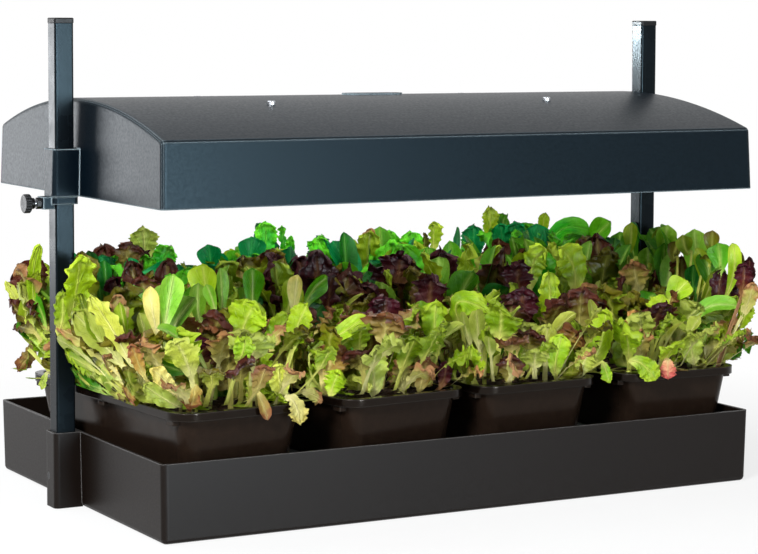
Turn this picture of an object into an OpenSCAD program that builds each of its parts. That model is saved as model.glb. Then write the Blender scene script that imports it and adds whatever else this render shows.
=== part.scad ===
// Countertop hydroponic garden: a water reservoir with grow trays on a wicking deck,
// and a lamp hood that slides on two square posts and rests on clamp collars.
// Origin: centre of the underside. X runs along the length, Y towards the back, Z up.

/* [Reservoir base] */
// Outer length at the rim
base_length = 680; // [640:1:720]
// Outer width at the rim
base_width = 436; // [420:1:460]
// Height from the underside to the rim
base_height = 76; // [66:1:90]
// Wall thickness
base_wall = 3; // [2:0.5:4]
// How far each wall leans in from the rim to the underside
base_draft = 1.5; // [0:0.5:4]
// Floor thickness
base_floor = 5; // [3:0.5:6]
// Radius of the upright corners
base_corner = 6; // [4:0.5:12]
// Depth of the shallow recess in the underside
underside_recess = 1.5; // [0.5:0.5:2]

/* [Posts] */
// Side of the square tube
post_side = 20; // [18:0.5:24]
// Wall of the square tube
post_wall = 1.6; // [1:0.2:2.4]
// Top of the end cap above the underside
post_top = 490.4; // [480:0.5:520]
// Gap between the post and the end wall of the base rim
post_offset = 3.4; // [3:0.2:6]
// Height of the end cap's head
cap_height = 5.2; // [3:0.2:8]
// How far the end cap's plug reaches into the tube
cap_plug = 12; // [8:1:20]
// Height of the screw that fixes the post in its socket
post_screw_height = 31; // [20:1:40]
// Thread diameter of the post screw
post_screw_d = 3; // [2.5:0.1:4]

/* [Hood] */
// Outer length at the bottom edge
hood_length = 680; // [640:1:720]
// Outer width at the bottom edge
hood_width = 437; // [420:1:460]
// Height of the bottom edge above the underside of the base
hood_bottom = 312.7; // [305:0.1:330]
// Height of the upright front wall
hood_wall_height = 63.8; // [50:0.2:80]
// Rise of the arched top above the front wall
hood_rise = 33.9; // [25:0.1:45]
// Wall thickness
hood_wall = 3; // [2:0.5:4]
// How far each wall leans in from the bottom edge to the eave
hood_draft = 1.5; // [0:0.5:3]
// Radius of the rounded end edges
hood_edge = 4; // [2:0.5:8]
// Height of the sleeve round each post
sleeve_height = 47.5; // [35:0.5:60]
// Length of the raised pad on the crest
pad_length = 70; // [40:1:100]
// Width of the raised pad on the crest
pad_width = 26; // [16:1:40]
// Height of the raised pad above the crest
pad_height = 1.8; // [0.8:0.2:3]

/* [Sockets and sleeves] */
// Wall of the sockets, sleeves and collars round a post
socket_wall = 3.3; // [2.5:0.1:5]
// Gap on each side of a post
post_gap = 0.3; // [0.2:0.05:0.5]
// Radius of their outer corners
socket_corner = 5; // [3:0.5:6]

/* [Clamps] */
// Height of the collar
collar_height = 7.6; // [6:0.2:12]
// Height of the screw boss on the collar
boss_height = 12.4; // [11:0.2:16]
// Width of the screw boss
boss_width = 17; // [13:0.5:20]
// How far the screw boss stands out of the collar
boss_reach = 8.6; // [6:0.2:12]
// Thread diameter of the clamp screw
clamp_screw_d = 6; // [5:0.5:7]
// Width across the flats of the lock nut
lock_nut_flats = 10; // [9:0.5:11]
// Thickness of the lock nut
lock_nut_height = 5; // [3:0.5:7]
// Bare length of screw between the nut and the knob
stem_show = 2.4; // [1.5:0.1:8]
// Diameter of the knob's fluted head
knob_d = 19; // [16:0.5:24]
// Thickness of the knob's fluted head
knob_head = 6.6; // [5:0.2:10]
// Diameter of the knob's hub
knob_hub_d = 11; // [9:0.5:13]
// Length of the knob's hub
knob_hub = 4; // [3:0.2:8]
// Number of flutes round the knob
knob_flutes = 18; // [12:1:24]

/* [Wicking deck] */
// Height of the deck's top face above the underside of the base
deck_top = 50; // [44:1:54]
// Thickness of the deck plate
deck_plate = 4; // [3:0.5:6]
// Gap between the deck and the base walls
deck_gap = 2; // [1:0.5:4]
// Diameter of each hollow leg
leg_d = 16; // [12:1:24]
// Wall of each hollow leg
leg_wall = 2; // [1.5:0.5:3]
// Thickness of the capillary mat
mat_thickness = 2.5; // [2:0.5:4]
// Width of each wick slot in the deck
wick_slot = 14; // [8:1:20]
// Strip of deck between the rear wick slot and the fill opening
wick_strip = 12.5; // [8:0.5:16]
// Length of the fill opening along the back of the deck
fill_length = 200; // [100:5:300]
// Width of the fill opening
fill_width = 34; // [24:1:36]
// Width of each tail of the mat
tail_width = 80; // [40:5:100]

/* [Grow trays] */
// Outer width over the rim
tray_width = 148; // [136:1:150]
// Outer length over the rim
tray_length = 334; // [320:1:340]
// Height from the tray's underside to its rim
tray_height = 68.5; // [60:0.1:72]
// Width of the rim outside the body
rim_width = 6.5; // [5:0.5:13]
// Depth of the rim's turned down lip
lip_depth = 8; // [6:0.5:12]
// Wall thickness
tray_wall = 1.6; // [1.2:0.2:2.4]
// How far each side leans in from the rim to the underside
tray_draft = 9.6; // [4:0.1:10]
// Corner radius of the rim
rim_corner = 23; // [18:1:36]
// Gap between a tray and the mat below it
tray_seat = 0.3; // [0.2:0.1:0.5]
// Drop from the rim to the growing medium
medium_drop = 8.5; // [5:0.5:14]

/* [Lamps] */
// Length of each fluorescent tube without its pins
tube_length = 549; // [517:1:570]
// Diameter of each tube
tube_d = 16; // [15:0.5:18]
// How far the tubes' centre line hangs below the crest of the hood
tube_drop = 50.4; // [46:0.1:56]
// Distance from the middle of the hood to each tube
tube_spread = 74; // [66:1:84]
// Thickness of the reflector sheet
reflector_sheet = 1; // [0.8:0.1:1.5]
// Distance of each hood bolt from the middle, along the hood
bolt_x = 164; // [140:1:180]
// Distance of each hood bolt from the middle, across the hood
bolt_y = 89; // [84:1:94]
// Thread diameter of the hood bolts
bolt_d = 5; // [4:0.5:6]
// Length of the ballast box
ballast_length = 320; // [240:5:400]

/* [Plants] */
// Height of the tallest plants above the growing medium
plant_height = 130; // [100:1:170]
// Gap between the plants of neighbouring trays
plant_gap = 4; // [2:1:10]
// How far the leaves reach in front of the origin
plant_front = 216; // [180:1:220]
// How far the leaves reach behind the origin
plant_back = 163; // [150:1:205]

/* [Hidden] */
$fn = 48;

left = -1;
right = 1;
skin = 0.01;
through = 1;

// Posts stand just outside the end walls of the rim.
post_x = base_length / 2 + post_offset + post_side / 2;
post_corner = 2;
post_foot = base_floor;
tube_top = post_top - cap_height;
cap_overhang = 0.4;
socket_side = post_side + 2 * (post_gap + socket_wall);
socket_face_x = post_x + socket_side / 2;
post_screw_y = post_side / 2 - post_wall - post_screw_d;
post_screw_head_d = 2 * post_screw_d;
post_screw_head = 1.4;
post_screw_seat = socket_face_x - post_screw_head - post_gap;
foot_bevel = 3.2;
foot_step = 1.2;
floor_fillet = 3;
underside_land = 30;
underside_rim = 22;

// Hood
hood_eave = hood_bottom + hood_wall_height;
hood_crest = hood_eave + hood_rise;
eave_half = hood_width / 2 - 2 * hood_draft;
arch_r = (eave_half * eave_half + hood_rise * hood_rise) / (2 * hood_rise);
arch_centre = hood_crest - arch_r;
arch_steps = 40;
eave_round = 2.2;
end_lean = atan(hood_draft / hood_wall_height);
sleeve_top = hood_bottom + sleeve_height;
sleeve_flare = 0.7;
wall_rise = arch_z(eave_half - eave_round) - hood_bottom - eave_round;
side_lean = atan((hood_width / 2 - eave_half) / wall_rise);

// Clamps
collar_bottom = hood_bottom - collar_height;
boss_bottom = hood_bottom - boss_height;
boss_root = 3;
screw_z = hood_bottom - boss_height / 2 - post_gap;
screw_gap = 0.05;
boss_face_x = socket_face_x + boss_reach;
nut_face_x = boss_face_x + lock_nut_height;
hub_face_x = nut_face_x + stem_show;
knob_face_x = hub_face_x + knob_hub + knob_head;
screw_tip_x = post_x + post_side / 2 + post_gap;
screw_seat = knob_head - 2;

// Deck and mat
floor_lean = base_draft / base_height;
deck_half_x = base_length / 2 - base_draft - base_wall - deck_gap;
deck_half_y = base_width / 2 - base_draft - base_wall - deck_gap;
deck_under = deck_top - deck_plate;
fill_y = deck_half_y - (fill_width + wick_slot) / 2;
front_wick = 2 * wick_slot - deck_half_y;
rear_wick = fill_y - fill_width / 2 - wick_strip - wick_slot / 2;
wick_rows = [front_wick, rear_wick];
wick_length = 2 * deck_half_x - 8 * wick_slot;
leg_columns = 5;
leg_rows = 3;
leg_step_x = 2 * deck_half_x / leg_columns;
leg_step_y = 0.75 * (rear_wick - wick_slot);
deck_rear = rear_wick + wick_slot / 2 + wick_strip;
panel_gap = 0.5;
deck_spots = [for (i = [0 : leg_columns - 1], j = [0 : leg_rows - 1])
    [(i - (leg_columns - 1) / 2) * leg_step_x, (j - (leg_rows - 1) / 2) * leg_step_y]];
panel_spots = [for (side = [left, right], i = [1, 2]) [side * i * leg_step_x, fill_y]];
tail_count = 3;
tail_step = 180;
mat_top = deck_top + mat_thickness;
mat_margin = 10;
mat_tail_gap = 4;

// Trays: centre of each tray, as a share of the base's length and width, and how far it is
// turned, as they stand loosely in the base
tray_shares = [[-0.3846, -0.106, 4.2], [-0.1276, -0.1, 5.5], [0.1215, -0.0853, 2],
    [0.394, -0.0819, -0.8]];
tray_places = [for (t = tray_shares) [t[0] * base_length, t[1] * base_width, t[2]]];
tray_foot = mat_top + tray_seat;
tray_rim = tray_foot + tray_height;
body_width = tray_width - 2 * rim_width;
body_length = tray_length - 2 * rim_width;
body_corner = rim_corner - rim_width;
lug_width = 12;
lug_drop = 5;
lug_clear = 0.5;
foot_round = 2.2;
medium_top = tray_rim - medium_drop;

// Lamps
tube_height = hood_crest - tube_drop;
reflector_overhang = 20;
reflector_half = tube_length / 2 + reflector_overhang;
trough_height = 28;
reflector_top = tube_height + trough_height;
inner_slope = 44;
strip_half = tube_spread - inner_slope;
strip_rise = 6;
strip_z = tube_height + strip_rise;
flat_half = 24;
outer_slope = 54;
wing_out = tube_spread + outer_slope;
wing_rise = 2;
wing_z = tube_height + wing_rise;
hem = 5;
ballast_margin = 4;
ballast_height = 28;
end_cap_length = 12;
holder_length = 10;
holder_width = 22;
pin_d = 2.4;
pin_reach = 7;
pin_pitch = 5;
pin_gap = 0.1;
bolt_gap = 0.2;
bolt_head_d = 8.6;
bolt_head = 4;
bolt_seat = arch_z(bolt_y + bolt_head_d / 2 + 2 * bolt_gap);
boss_d = 12;
nut_flats = 8;
nut_height = 4;
inlet_x = 230;
inlet_z = hood_bottom + wall_rise / 2;
inlet_y = hood_width / 2 - (inlet_z - hood_bottom) * tan(side_lean);
inlet_length = 27;
inlet_height = 13;
inlet_depth = 19;
inlet_flange = 1;
inlet_rim = 2;
inlet_recess = [15.4, 8.2, 13];
inlet_pin = 7;
inlet_pin_pitch = 8.4;

// Plants: the edges between neighbouring beds of leaves
plant_reach = post_x - post_side / 2 - 2.4;
plant_edges = [-plant_reach, for (i = [0 : 2]) (tray_places[i][0] + tray_places[i + 1][0]) / 2,
    plant_reach];
// Levels of a head of leaves: [share of its height, inset from the sides, from the front,
// from the back and from the next head, corner radius]
leaf_levels = [[0.24, 12, 14, 40, -6, 22], [0.5, 2, 2, 20, -6, 26], [0.79, 2, 32, 4, 2, 28],
    [0.93, 9, 58, 16, 10, 20], [1, 28, 74, 40, 18, 12]];
// Height of each head of leaves from the front to the back, as a share of the tallest
head_heights = [0.76, 0.9, 1];
// How much lower every other head is
head_dip = 0.04;
head_count = 3;
stalk_inset = 6;
stalk_radius = 16;
stalk_width = body_width - 2 * tray_wall - stalk_inset;
stalk_step = (body_length - 2 * tray_wall - 2 * stalk_inset) / head_count;

// Height of the hood's outer surface at a distance from the middle
function arch_z(y, inset = 0) = arch_centre + sqrt(pow(arch_r - inset, 2) - y * y);

// A rounded rectangle with true arcs
module rounded_rect(length, width, radius) {
    square([length - 2 * radius, width], center = true);
    square([length, width - 2 * radius], center = true);
    for (sx = [-1, 1], sy = [-1, 1])
        translate([sx * (length / 2 - radius), sy * (width / 2 - radius)])
            circle(r = radius);
}

// A smooth closed form through rounded rectangles, each [height, length, width, radius]
module loft(slabs) {
    hull()
        for (s = slabs)
            translate([0, 0, s[0] - (s == slabs[len(slabs) - 1] ? skin : 0)])
                linear_extrude(skin)
                    rounded_rect(s[1], s[2], s[3], $fn = 32);
}

// A square pipe's cross-section, or a solid one where the hole is 0
module square_section(side, hole) {
    difference() {
        rounded_rect(side, side, post_corner, $fn = 24);
        if (hole > 0)
            rounded_rect(hole, hole, post_corner / 2, $fn = 24);
    }
}

// The hole a post passes through in a socket, a sleeve or a collar
module post_hole() {
    rounded_rect(post_side + 2 * post_gap, post_side + 2 * post_gap, post_corner, $fn = 24);
}

// Lays a profile drawn across the hood, as [y, z], along X
module along_x(length) {
    translate([-length / 2, 0, 0])
        rotate([90, 0, 90])
            linear_extrude(length)
                children();
}

// Lays an upright profile drawn as [x, z] along Y
module along_y(length) {
    translate([0, length / 2, 0])
        rotate([90, 0, 0])
            linear_extrude(length)
                children();
}

// A cylinder that points outward along X on one side, from one distance to another
module outward(side, from, to, d, fn = 48) {
    translate([side * from, 0, 0])
        rotate([0, side * 90, 0])
            cylinder(h = to - from, d = d, $fn = fn);
}

// ---- Reservoir base ----

function base_slab(z, inset) = [z,
    base_length - 2 * base_draft * (1 - z / base_height) - 2 * inset,
    base_width - 2 * base_draft * (1 - z / base_height) - 2 * inset,
    max(base_corner - inset, 2)];

module base_socket(side) {
    translate([side * post_x, 0, 0])
        linear_extrude(base_height)
            rounded_rect(socket_side, socket_side, socket_corner);
    translate([side * (post_x - socket_side / 4 - base_draft), 0, base_height / 2])
        cube([socket_side / 2 + base_draft, socket_side, base_height], center = true);
}

module reservoir_base() {
    color("#26282b")
        difference() {
            union() {
                loft([base_slab(0, foot_bevel), base_slab(foot_step, foot_step),
                    base_slab(foot_bevel + foot_step / 2, 0), base_slab(base_height, 0)]);
                for (side = [left, right])
                    base_socket(side);
            }
            loft([base_slab(base_floor, base_wall + floor_fillet),
                base_slab(base_floor + floor_fillet, base_wall),
                base_slab(base_height, base_wall) + [through, 0, 0, 0]]);
            for (side = [left, right]) {
                translate([side * post_x, 0, post_foot])
                    linear_extrude(base_height)
                        post_hole();
                translate([0, post_screw_y, post_screw_height]) {
                    outward(side, post_x, socket_face_x + through,
                        post_screw_d + 2 * bolt_gap, 24);
                    outward(side, post_screw_seat, socket_face_x + through,
                        post_screw_head_d + 1, 24);
                }
                translate([side * base_length / 4, 0, -through])
                    linear_extrude(underside_recess + through)
                        rounded_rect(base_length / 2 - underside_land,
                            base_width - 2 * underside_rim, 2 * base_corner);
            }
        }
}

// ---- Posts ----

module post(side) {
    color("#202225")
        difference() {
            translate([side * post_x, 0, post_foot])
                linear_extrude(tube_top - post_foot)
                    square_section(post_side, post_side - 2 * post_wall);
            translate([0, post_screw_y, post_screw_height])
                outward(side, post_x, post_x + post_side, post_screw_d + 2 * screw_gap, 24);
        }
}

module post_cap(side) {
    cap_side = post_side + 2 * cap_overhang;
    bevel = 1.2;
    plug_side = post_side - 2 * post_wall - post_gap;
    plug_wall = 2;
    color("#17181a")
        translate([side * post_x, 0, 0]) {
            intersection() {
                translate([0, 0, tube_top])
                    linear_extrude(cap_height)
                        square_section(cap_side, 0);
                for_both_ways() cap_outline(cap_side, bevel);
            }
            translate([0, 0, tube_top - cap_plug])
                linear_extrude(cap_plug)
                    square_section(plug_side, plug_side - 2 * plug_wall);
        }
}

// The common part of one upright profile laid along X and along Y
module for_both_ways() {
    intersection() {
        along_x(2 * post_side)
            children();
        along_y(2 * post_side)
            children();
    }
}

module cap_outline(side, bevel) {
    polygon([[-side / 2, tube_top], [side / 2, tube_top],
        [side / 2, post_top - bevel], [side / 2 - bevel, post_top],
        [bevel - side / 2, post_top], [-side / 2, post_top - bevel]]);
}

module post_screws() {
    slot_width = 0.9;
    slot_depth = 0.9;
    head_face_x = post_screw_seat + post_screw_head;
    color("#3a3c3f")
        for (side = [left, right])
            translate([0, post_screw_y, post_screw_height]) {
                outward(side, post_x + post_side / 8, post_screw_seat, post_screw_d, 24);
                difference() {
                    outward(side, post_screw_seat, head_face_x, post_screw_head_d, 24);
                    translate([side * head_face_x, 0, 0])
                        cube([2 * slot_depth, slot_width, post_screw_head_d * 0.6],
                            center = true);
                }
            }
}

// ---- Wicking deck and mat ----

module wicking_deck() {
    color("#303338")
        difference() {
            translate([0, (deck_rear - deck_half_y) / 2, deck_under])
                linear_extrude(deck_plate)
                    square([2 * deck_half_x, deck_half_y + deck_rear], center = true);
            for (y = wick_rows)
                translate([0, y, deck_under - through])
                    linear_extrude(deck_plate + 2 * through)
                        rounded_rect(wick_length, wick_slot, wick_slot / 2 - 0.1);
        }
}

// Two lift-out panels behind the deck, either side of the opening for filling
module rear_deck_panels() {
    length = deck_half_x - fill_length / 2;
    color("#303338")
        for (side = [left, right])
            translate([side * (deck_half_x - length / 2), (deck_half_y + deck_rear + panel_gap) / 2,
                deck_under])
                linear_extrude(deck_plate)
                    square([length, deck_half_y - deck_rear - panel_gap], center = true);
}

// Hollow legs that carry the deck and its rear panels on the floor of the base
module deck_legs() {
    color("#303338")
        for (spot = concat(deck_spots, panel_spots))
            translate([spot[0], spot[1], base_floor])
                linear_extrude(deck_under - base_floor)
                    difference() {
                        circle(d = leg_d, $fn = 32);
                        circle(d = leg_d - 2 * leg_wall, $fn = 32);
                    }
}

module capillary_mat() {
    tail_foot = base_floor + mat_tail_gap;
    color("#15161a") {
        translate([0, (front_wick + rear_wick) / 2, deck_top])
            linear_extrude(mat_thickness)
                rounded_rect(wick_length + 4 * wick_slot, rear_wick - front_wick + mat_margin, 4);
        for (y = wick_rows, i = [0 : tail_count - 1])
            translate([(i - (tail_count - 1) / 2) * tail_step, y, (tail_foot + mat_top) / 2])
                cube([tail_width, mat_thickness, mat_top - tail_foot], center = true);
    }
}

// ---- Grow trays ----

module at_tray(i) {
    translate([tray_places[i][0], tray_places[i][1], tray_foot])
        rotate([0, 0, tray_places[i][2]])
            children();
}

// Size of the tray's body at a height above its underside
function body_slab(z, inset) = [z,
    body_width - 2 * tray_draft * (1 - z / tray_height) - 2 * inset,
    body_length - 2 * tray_draft * (1 - z / tray_height) - 2 * inset,
    max(body_corner - inset, 4)];

module tray_rim() {
    opening_w = body_width - 2 * tray_wall;
    opening_l = body_length - 2 * tray_wall;
    difference() {
        translate([0, 0, tray_height - lip_depth])
            linear_extrude(lip_depth)
                rounded_rect(tray_width, tray_length, rim_corner);
        translate([0, 0, tray_height - lip_depth - through])
            linear_extrude(lip_depth - tray_wall + through)
                rounded_rect(tray_width - 2 * tray_wall, tray_length - 2 * tray_wall,
                    rim_corner - tray_wall);
        linear_extrude(tray_height + through)
            rounded_rect(opening_w, opening_l, body_corner - tray_wall);
    }
}

// Ribs that join the body to the rim, with a foot that shows below the lip
module tray_lugs() {
    top = tray_height - tray_wall / 2;
    foot = tray_height - lip_depth - lug_drop;
    root = (body_width - tray_wall) / 2;
    outer = body_width / 2 + rim_width - tray_wall - lug_clear;
    foot_root = root - tray_draft * (tray_height - foot) / tray_height;
    for (sx = [-1, 1], sy = [-1, 0, 1])
        translate([0, sy * (body_length / 2 - body_corner), 0])
            along_y(lug_width)
                polygon([[sx * root, top], [sx * outer, top], [sx * outer, foot],
                    [sx * foot_root, foot]]);
}

module wick_openings() {
    columns = 3;
    rows = 7;
    opening = [3, 24, tray_wall + 2 * through];
    for (i = [0 : columns - 1], j = [0 : rows - 1])
        translate([(i - (columns - 1) / 2) * body_width / 4,
            (j - (rows - 1) / 2) * body_length / 8, tray_wall / 2])
            cube(opening, center = true);
}

module grow_tray(i) {
    color("#1d1a1a")
        at_tray(i) {
            difference() {
                loft([body_slab(0, foot_round), body_slab(foot_round + 1, 0),
                    body_slab(tray_height, 0)]);
                loft([body_slab(tray_wall, tray_wall + foot_round),
                    body_slab(tray_wall + foot_round + 1, tray_wall),
                    body_slab(tray_height, tray_wall) + [through, 0, 0, 0]]);
                wick_openings();
            }
            tray_rim();
            tray_lugs();
        }
}

module growing_medium(i) {
    fill = tray_height - medium_drop;
    clear = 0.2;
    color("#3b2a1f")
        at_tray(i)
            loft([body_slab(tray_wall + clear, tray_wall + foot_round + clear),
                body_slab(tray_wall + foot_round + 1, tray_wall + clear),
                body_slab(fill, tray_wall + clear)]);
}

// ---- Plants ----

// One level of a head of leaves, between the neighbouring beds and heads
module leaf_slab(bed, head, z, level) {
    west = plant_edges[bed] + (bed > 0 ? plant_gap / 2 : 0) + level[1];
    east = plant_edges[bed + 1] - (bed < 3 ? plant_gap / 2 : 0) - level[1];
    step = (plant_front + plant_back) / head_count;
    south = head * step - plant_front + (head == 0 ? level[2] : level[4]);
    north = (head + 1) * step - plant_front - (head == head_count - 1 ? level[3] : level[4]);
    translate([(west + east) / 2, (south + north) / 2, z])
        linear_extrude(skin)
            rounded_rect(east - west, north - south, level[5], $fn = 16);
}

module plants(i) {
    color("#6f9a2c") {
        at_tray(i)
            translate([0, 0, medium_top - tray_foot])
                linear_extrude(medium_drop + stalk_inset)
                    stalk_outline(stalk_inset);
        for (head = [0 : head_count - 1]) {
            height = plant_height * head_heights[head] * (1 - head_dip * ((i + head) % 2));
            hull() {
                at_tray(i)
                    translate([0, (head - (head_count - 1) / 2) * stalk_step, tray_height + skin])
                        linear_extrude(skin)
                            rounded_rect(stalk_width, stalk_step + stalk_inset, stalk_radius,
                                $fn = 16);
                for (level = leaf_levels)
                    leaf_slab(i, head, medium_top + height * level[0] - skin, level);
            }
        }
    }
}

module stalk_outline(inset) {
    rounded_rect(body_width - 2 * tray_wall - 2 * inset,
        body_length - 2 * tray_wall - 2 * inset, stalk_radius, $fn = 24);
}

// ---- Hood ----

// Outline across the hood, drawn as [y, height above the bottom edge]
module hood_outline(inset, foot = 0) {
    bottom_half = hood_width / 2 - inset;
    top_half = eave_half - inset;
    arc_half = top_half - eave_round;
    polygon(concat(
        [[-bottom_half, foot], [bottom_half, foot],
            [top_half, arch_z(arc_half, inset) - hood_bottom - eave_round]],
        [for (k = [0 : arch_steps])
            let (y = arc_half * (1 - 2 * k / arch_steps))
                [y, arch_z(y, inset) - hood_bottom]],
        [[-top_half, arch_z(arc_half, inset) - hood_bottom - eave_round]]));
}

module hood_end(side, x, inset, foot = 0) {
    translate([side * x, 0, hood_bottom])
        rotate([0, side * -end_lean, 0])
            rotate([90, 0, 90])
                linear_extrude(skin)
                    hood_outline(inset, foot);
}

module hood_body() {
    hull()
        for (side = [left, right], turn = [0 : 30 : 90])
            hood_end(side, hood_length / 2 - hood_edge * (1 - sin(turn)),
                hood_edge * (1 - cos(turn)));
}

module hood_space() {
    hull()
        for (side = [left, right])
            hood_end(side, hood_length / 2 - hood_wall, hood_wall, -through);
}

// The sleeve moulded on each end wall, a little wider at its foot
module post_sleeve(side) {
    half = socket_side / 2;
    inner = hood_length / 2 - hood_wall - post_x + 1;
    intersection() {
        translate([side * post_x, 0, hood_bottom])
            linear_extrude(sleeve_height)
                union() {
                    rounded_rect(socket_side + 2 * sleeve_flare,
                        socket_side + 2 * sleeve_flare, socket_corner);
                    translate([side * inner / 2, 0])
                        square([-inner, socket_side + 2 * sleeve_flare], center = true);
                }
        along_y(2 * socket_side)
            polygon([[side * (post_x + inner), hood_bottom],
                [side * (post_x + half + sleeve_flare), hood_bottom],
                [side * (post_x + half), sleeve_top],
                [side * (post_x + inner), sleeve_top]]);
    }
}

module at_bolts(z) {
    for (sx = [-1, 1], sy = [-1, 1])
        translate([sx * bolt_x, sy * bolt_y, z])
            children();
}

module hood_shell() {
    stem = reflector_top + reflector_sheet;
    color("#23282c")
        difference() {
            union() {
                difference() {
                    hood_body();
                    hood_space();
                }
                for (side = [left, right])
                    post_sleeve(side);
                at_bolts(stem)
                    cylinder(h = arch_z(bolt_y) - stem - 1, d = boss_d);
                translate([0, 0, hood_crest - hood_wall])
                    linear_extrude(hood_wall + pad_height)
                        rounded_rect(pad_length, pad_width, pad_width / 2 - 0.1);
            }
            for (side = [left, right])
                translate([side * post_x, 0, hood_bottom - through])
                    linear_extrude(sleeve_height + 2 * through)
                        post_hole();
            at_bolts(stem - through)
                cylinder(h = hood_crest - stem, d = bolt_d + 2 * bolt_gap);
            at_bolts(bolt_seat)
                cylinder(h = hood_rise, d = bolt_head_d + 4 * bolt_gap);
            inlet_cut();
        }
}

module hood_bolts() {
    foot = reflector_top - nut_height - 2;
    bevel = 0.9;
    recess = [5, 1, 1.2];
    color("#c9ccd0")
        at_bolts(0) {
            translate([0, 0, foot])
                cylinder(h = bolt_seat + bolt_head / 4 - foot, d = bolt_d);
            difference() {
                translate([0, 0, bolt_seat])
                    rotate_extrude()
                        polygon([[0, 0], [bolt_head_d / 2, 0],
                            [bolt_head_d / 2, bolt_head - bevel],
                            [bolt_head_d / 2 - bevel, bolt_head], [0, bolt_head]]);
                for (turn = [0, 90])
                    translate([0, 0, bolt_seat + bolt_head])
                        rotate([0, 0, turn])
                            cube(recess + [0, 0, recess[2]], center = true);
            }
        }
}

module bolt_nuts() {
    color("#b9bcc0")
        at_bolts(reflector_top - nut_height)
            difference() {
                cylinder(h = nut_height, d = nut_flats / cos(30), $fn = 6);
                translate([0, 0, -through])
                    cylinder(h = nut_height + 2 * through, d = bolt_d + 2 * screw_gap);
            }
}

// ---- Lamps ----

// Folded reflector, drawn as [y, z]: a strip under the ballast and a trough over each tube
module reflector_fold(t) {
    lower = [[strip_half, strip_z], [tube_spread - flat_half, reflector_top],
        [tube_spread + flat_half, reflector_top], [wing_out, wing_z], [wing_out, wing_z - hem]];
    upper = [[wing_out + t, wing_z - hem], [wing_out + t, wing_z + t * 0.6],
        [tube_spread + flat_half + t * 0.5, reflector_top + t],
        [tube_spread - flat_half - t * 0.5, reflector_top + t], [strip_half - t * 0.4, strip_z + t]];
    near_side = concat(lower, upper);
    far_side = [for (k = [len(near_side) - 1 : -1 : 0]) [-near_side[k][0], near_side[k][1]]];
    polygon(concat(near_side, far_side));
}

module lamp_reflector() {
    color("#e9ebec")
        difference() {
            along_x(2 * reflector_half)
                reflector_fold(reflector_sheet);
            at_bolts(reflector_top - through)
                cylinder(h = 3 * through, d = bolt_d + 2 * bolt_gap);
        }
}

module ballast_box() {
    half = strip_half - ballast_margin;
    radius = 3;
    color("#d9dbdc")
        translate([0, 0, strip_z + reflector_sheet])
            linear_extrude(ballast_height)
                rounded_rect(ballast_length, 2 * half, radius);
}

module at_tubes() {
    for (sy = [-1, 1])
        translate([0, sy * tube_spread, tube_height])
            children();
}

module lamp_tubes() {
    color("#f4f6ff")
        at_tubes()
            outward(1, end_cap_length - tube_length / 2, tube_length / 2 - end_cap_length, tube_d);
}

module tube_end_caps() {
    color("#b8babd")
        at_tubes()
            for (side = [left, right]) {
                outward(side, tube_length / 2 - end_cap_length, tube_length / 2, tube_d + 0.4);
                for (sz = [-1, 1])
                    translate([0, 0, sz * pin_pitch / 2])
                        outward(side, tube_length / 2, tube_length / 2 + pin_reach, pin_d, 24);
            }
}

module lampholders() {
    color("#f1f1ee")
        difference() {
            at_tubes()
                for (side = [left, right]) {
                    outward(side, tube_length / 2, tube_length / 2 + holder_length, holder_width);
                    translate([side * (tube_length / 2 + holder_length / 2), 0,
                        (reflector_top - tube_height) / 2])
                        cube([holder_length, holder_width * 0.7, reflector_top - tube_height],
                            center = true);
                }
            at_tubes()
                for (side = [left, right], sz = [-1, 1])
                    translate([0, 0, sz * pin_pitch / 2])
                        outward(side, tube_length / 2 - through, tube_length / 2 + pin_reach + 1,
                            pin_d + 2 * pin_gap, 24);
        }
}

// ---- Mains inlet in the rear wall of the hood ----

// A block that reaches inward, along -Y, from the outer face of the rear wall
module at_inlet(from, depth) {
    translate([inlet_x, inlet_y, inlet_z])
        rotate([side_lean + 90, 0, 0])
            translate([0, 0, from])
                linear_extrude(depth)
                    children();
}

module inlet_cut() {
    at_inlet(-2 * hood_wall, 4 * hood_wall)
        square([inlet_length + bolt_gap, inlet_height + bolt_gap], center = true);
}

module power_inlet() {
    color("#141517") {
        difference() {
            union() {
                at_inlet(-inlet_flange - skin, inlet_flange)
                    rounded_rect(inlet_length + 4 * inlet_rim, inlet_height + 2 * inlet_rim, 4);
                at_inlet(-inlet_flange / 2, inlet_depth)
                    rounded_rect(inlet_length - bolt_gap, inlet_height - bolt_gap, 2);
            }
            at_inlet(-inlet_flange - through, inlet_flange + through + inlet_recess[2])
                rounded_rect(inlet_recess[0], inlet_recess[1], inlet_recess[1] / 2 - 0.1);
        }
        for (sx = [-1, 1])
            at_inlet(inlet_recess[2] - inlet_pin, inlet_pin + through)
                translate([sx * inlet_pin_pitch / 2, 0])
                    circle(d = pin_d, $fn = 24);
    }
}

// ---- Clamps ----

module clamp_collar(side) {
    color("#23282c")
        difference() {
            union() {
                translate([side * post_x, 0, collar_bottom])
                    linear_extrude(collar_height)
                        rounded_rect(socket_side, socket_side, socket_corner);
                translate([side * (socket_face_x + boss_reach / 2 - boss_root / 2), 0,
                    boss_bottom + boss_height / 2])
                    cube([boss_reach + boss_root, boss_width, boss_height], center = true);
            }
            translate([side * post_x, 0, collar_bottom - through])
                linear_extrude(collar_height + 2 * through)
                    post_hole();
            translate([0, 0, screw_z])
                outward(side, post_x, boss_face_x + through, clamp_screw_d + 2 * screw_gap);
        }
}

module lock_nut(side) {
    color("#1b1c1e")
        translate([0, 0, screw_z])
            difference() {
                outward(side, boss_face_x, nut_face_x, lock_nut_flats / cos(30), 6);
                outward(side, boss_face_x - through, nut_face_x + through,
                    clamp_screw_d + 2 * screw_gap);
            }
}

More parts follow.
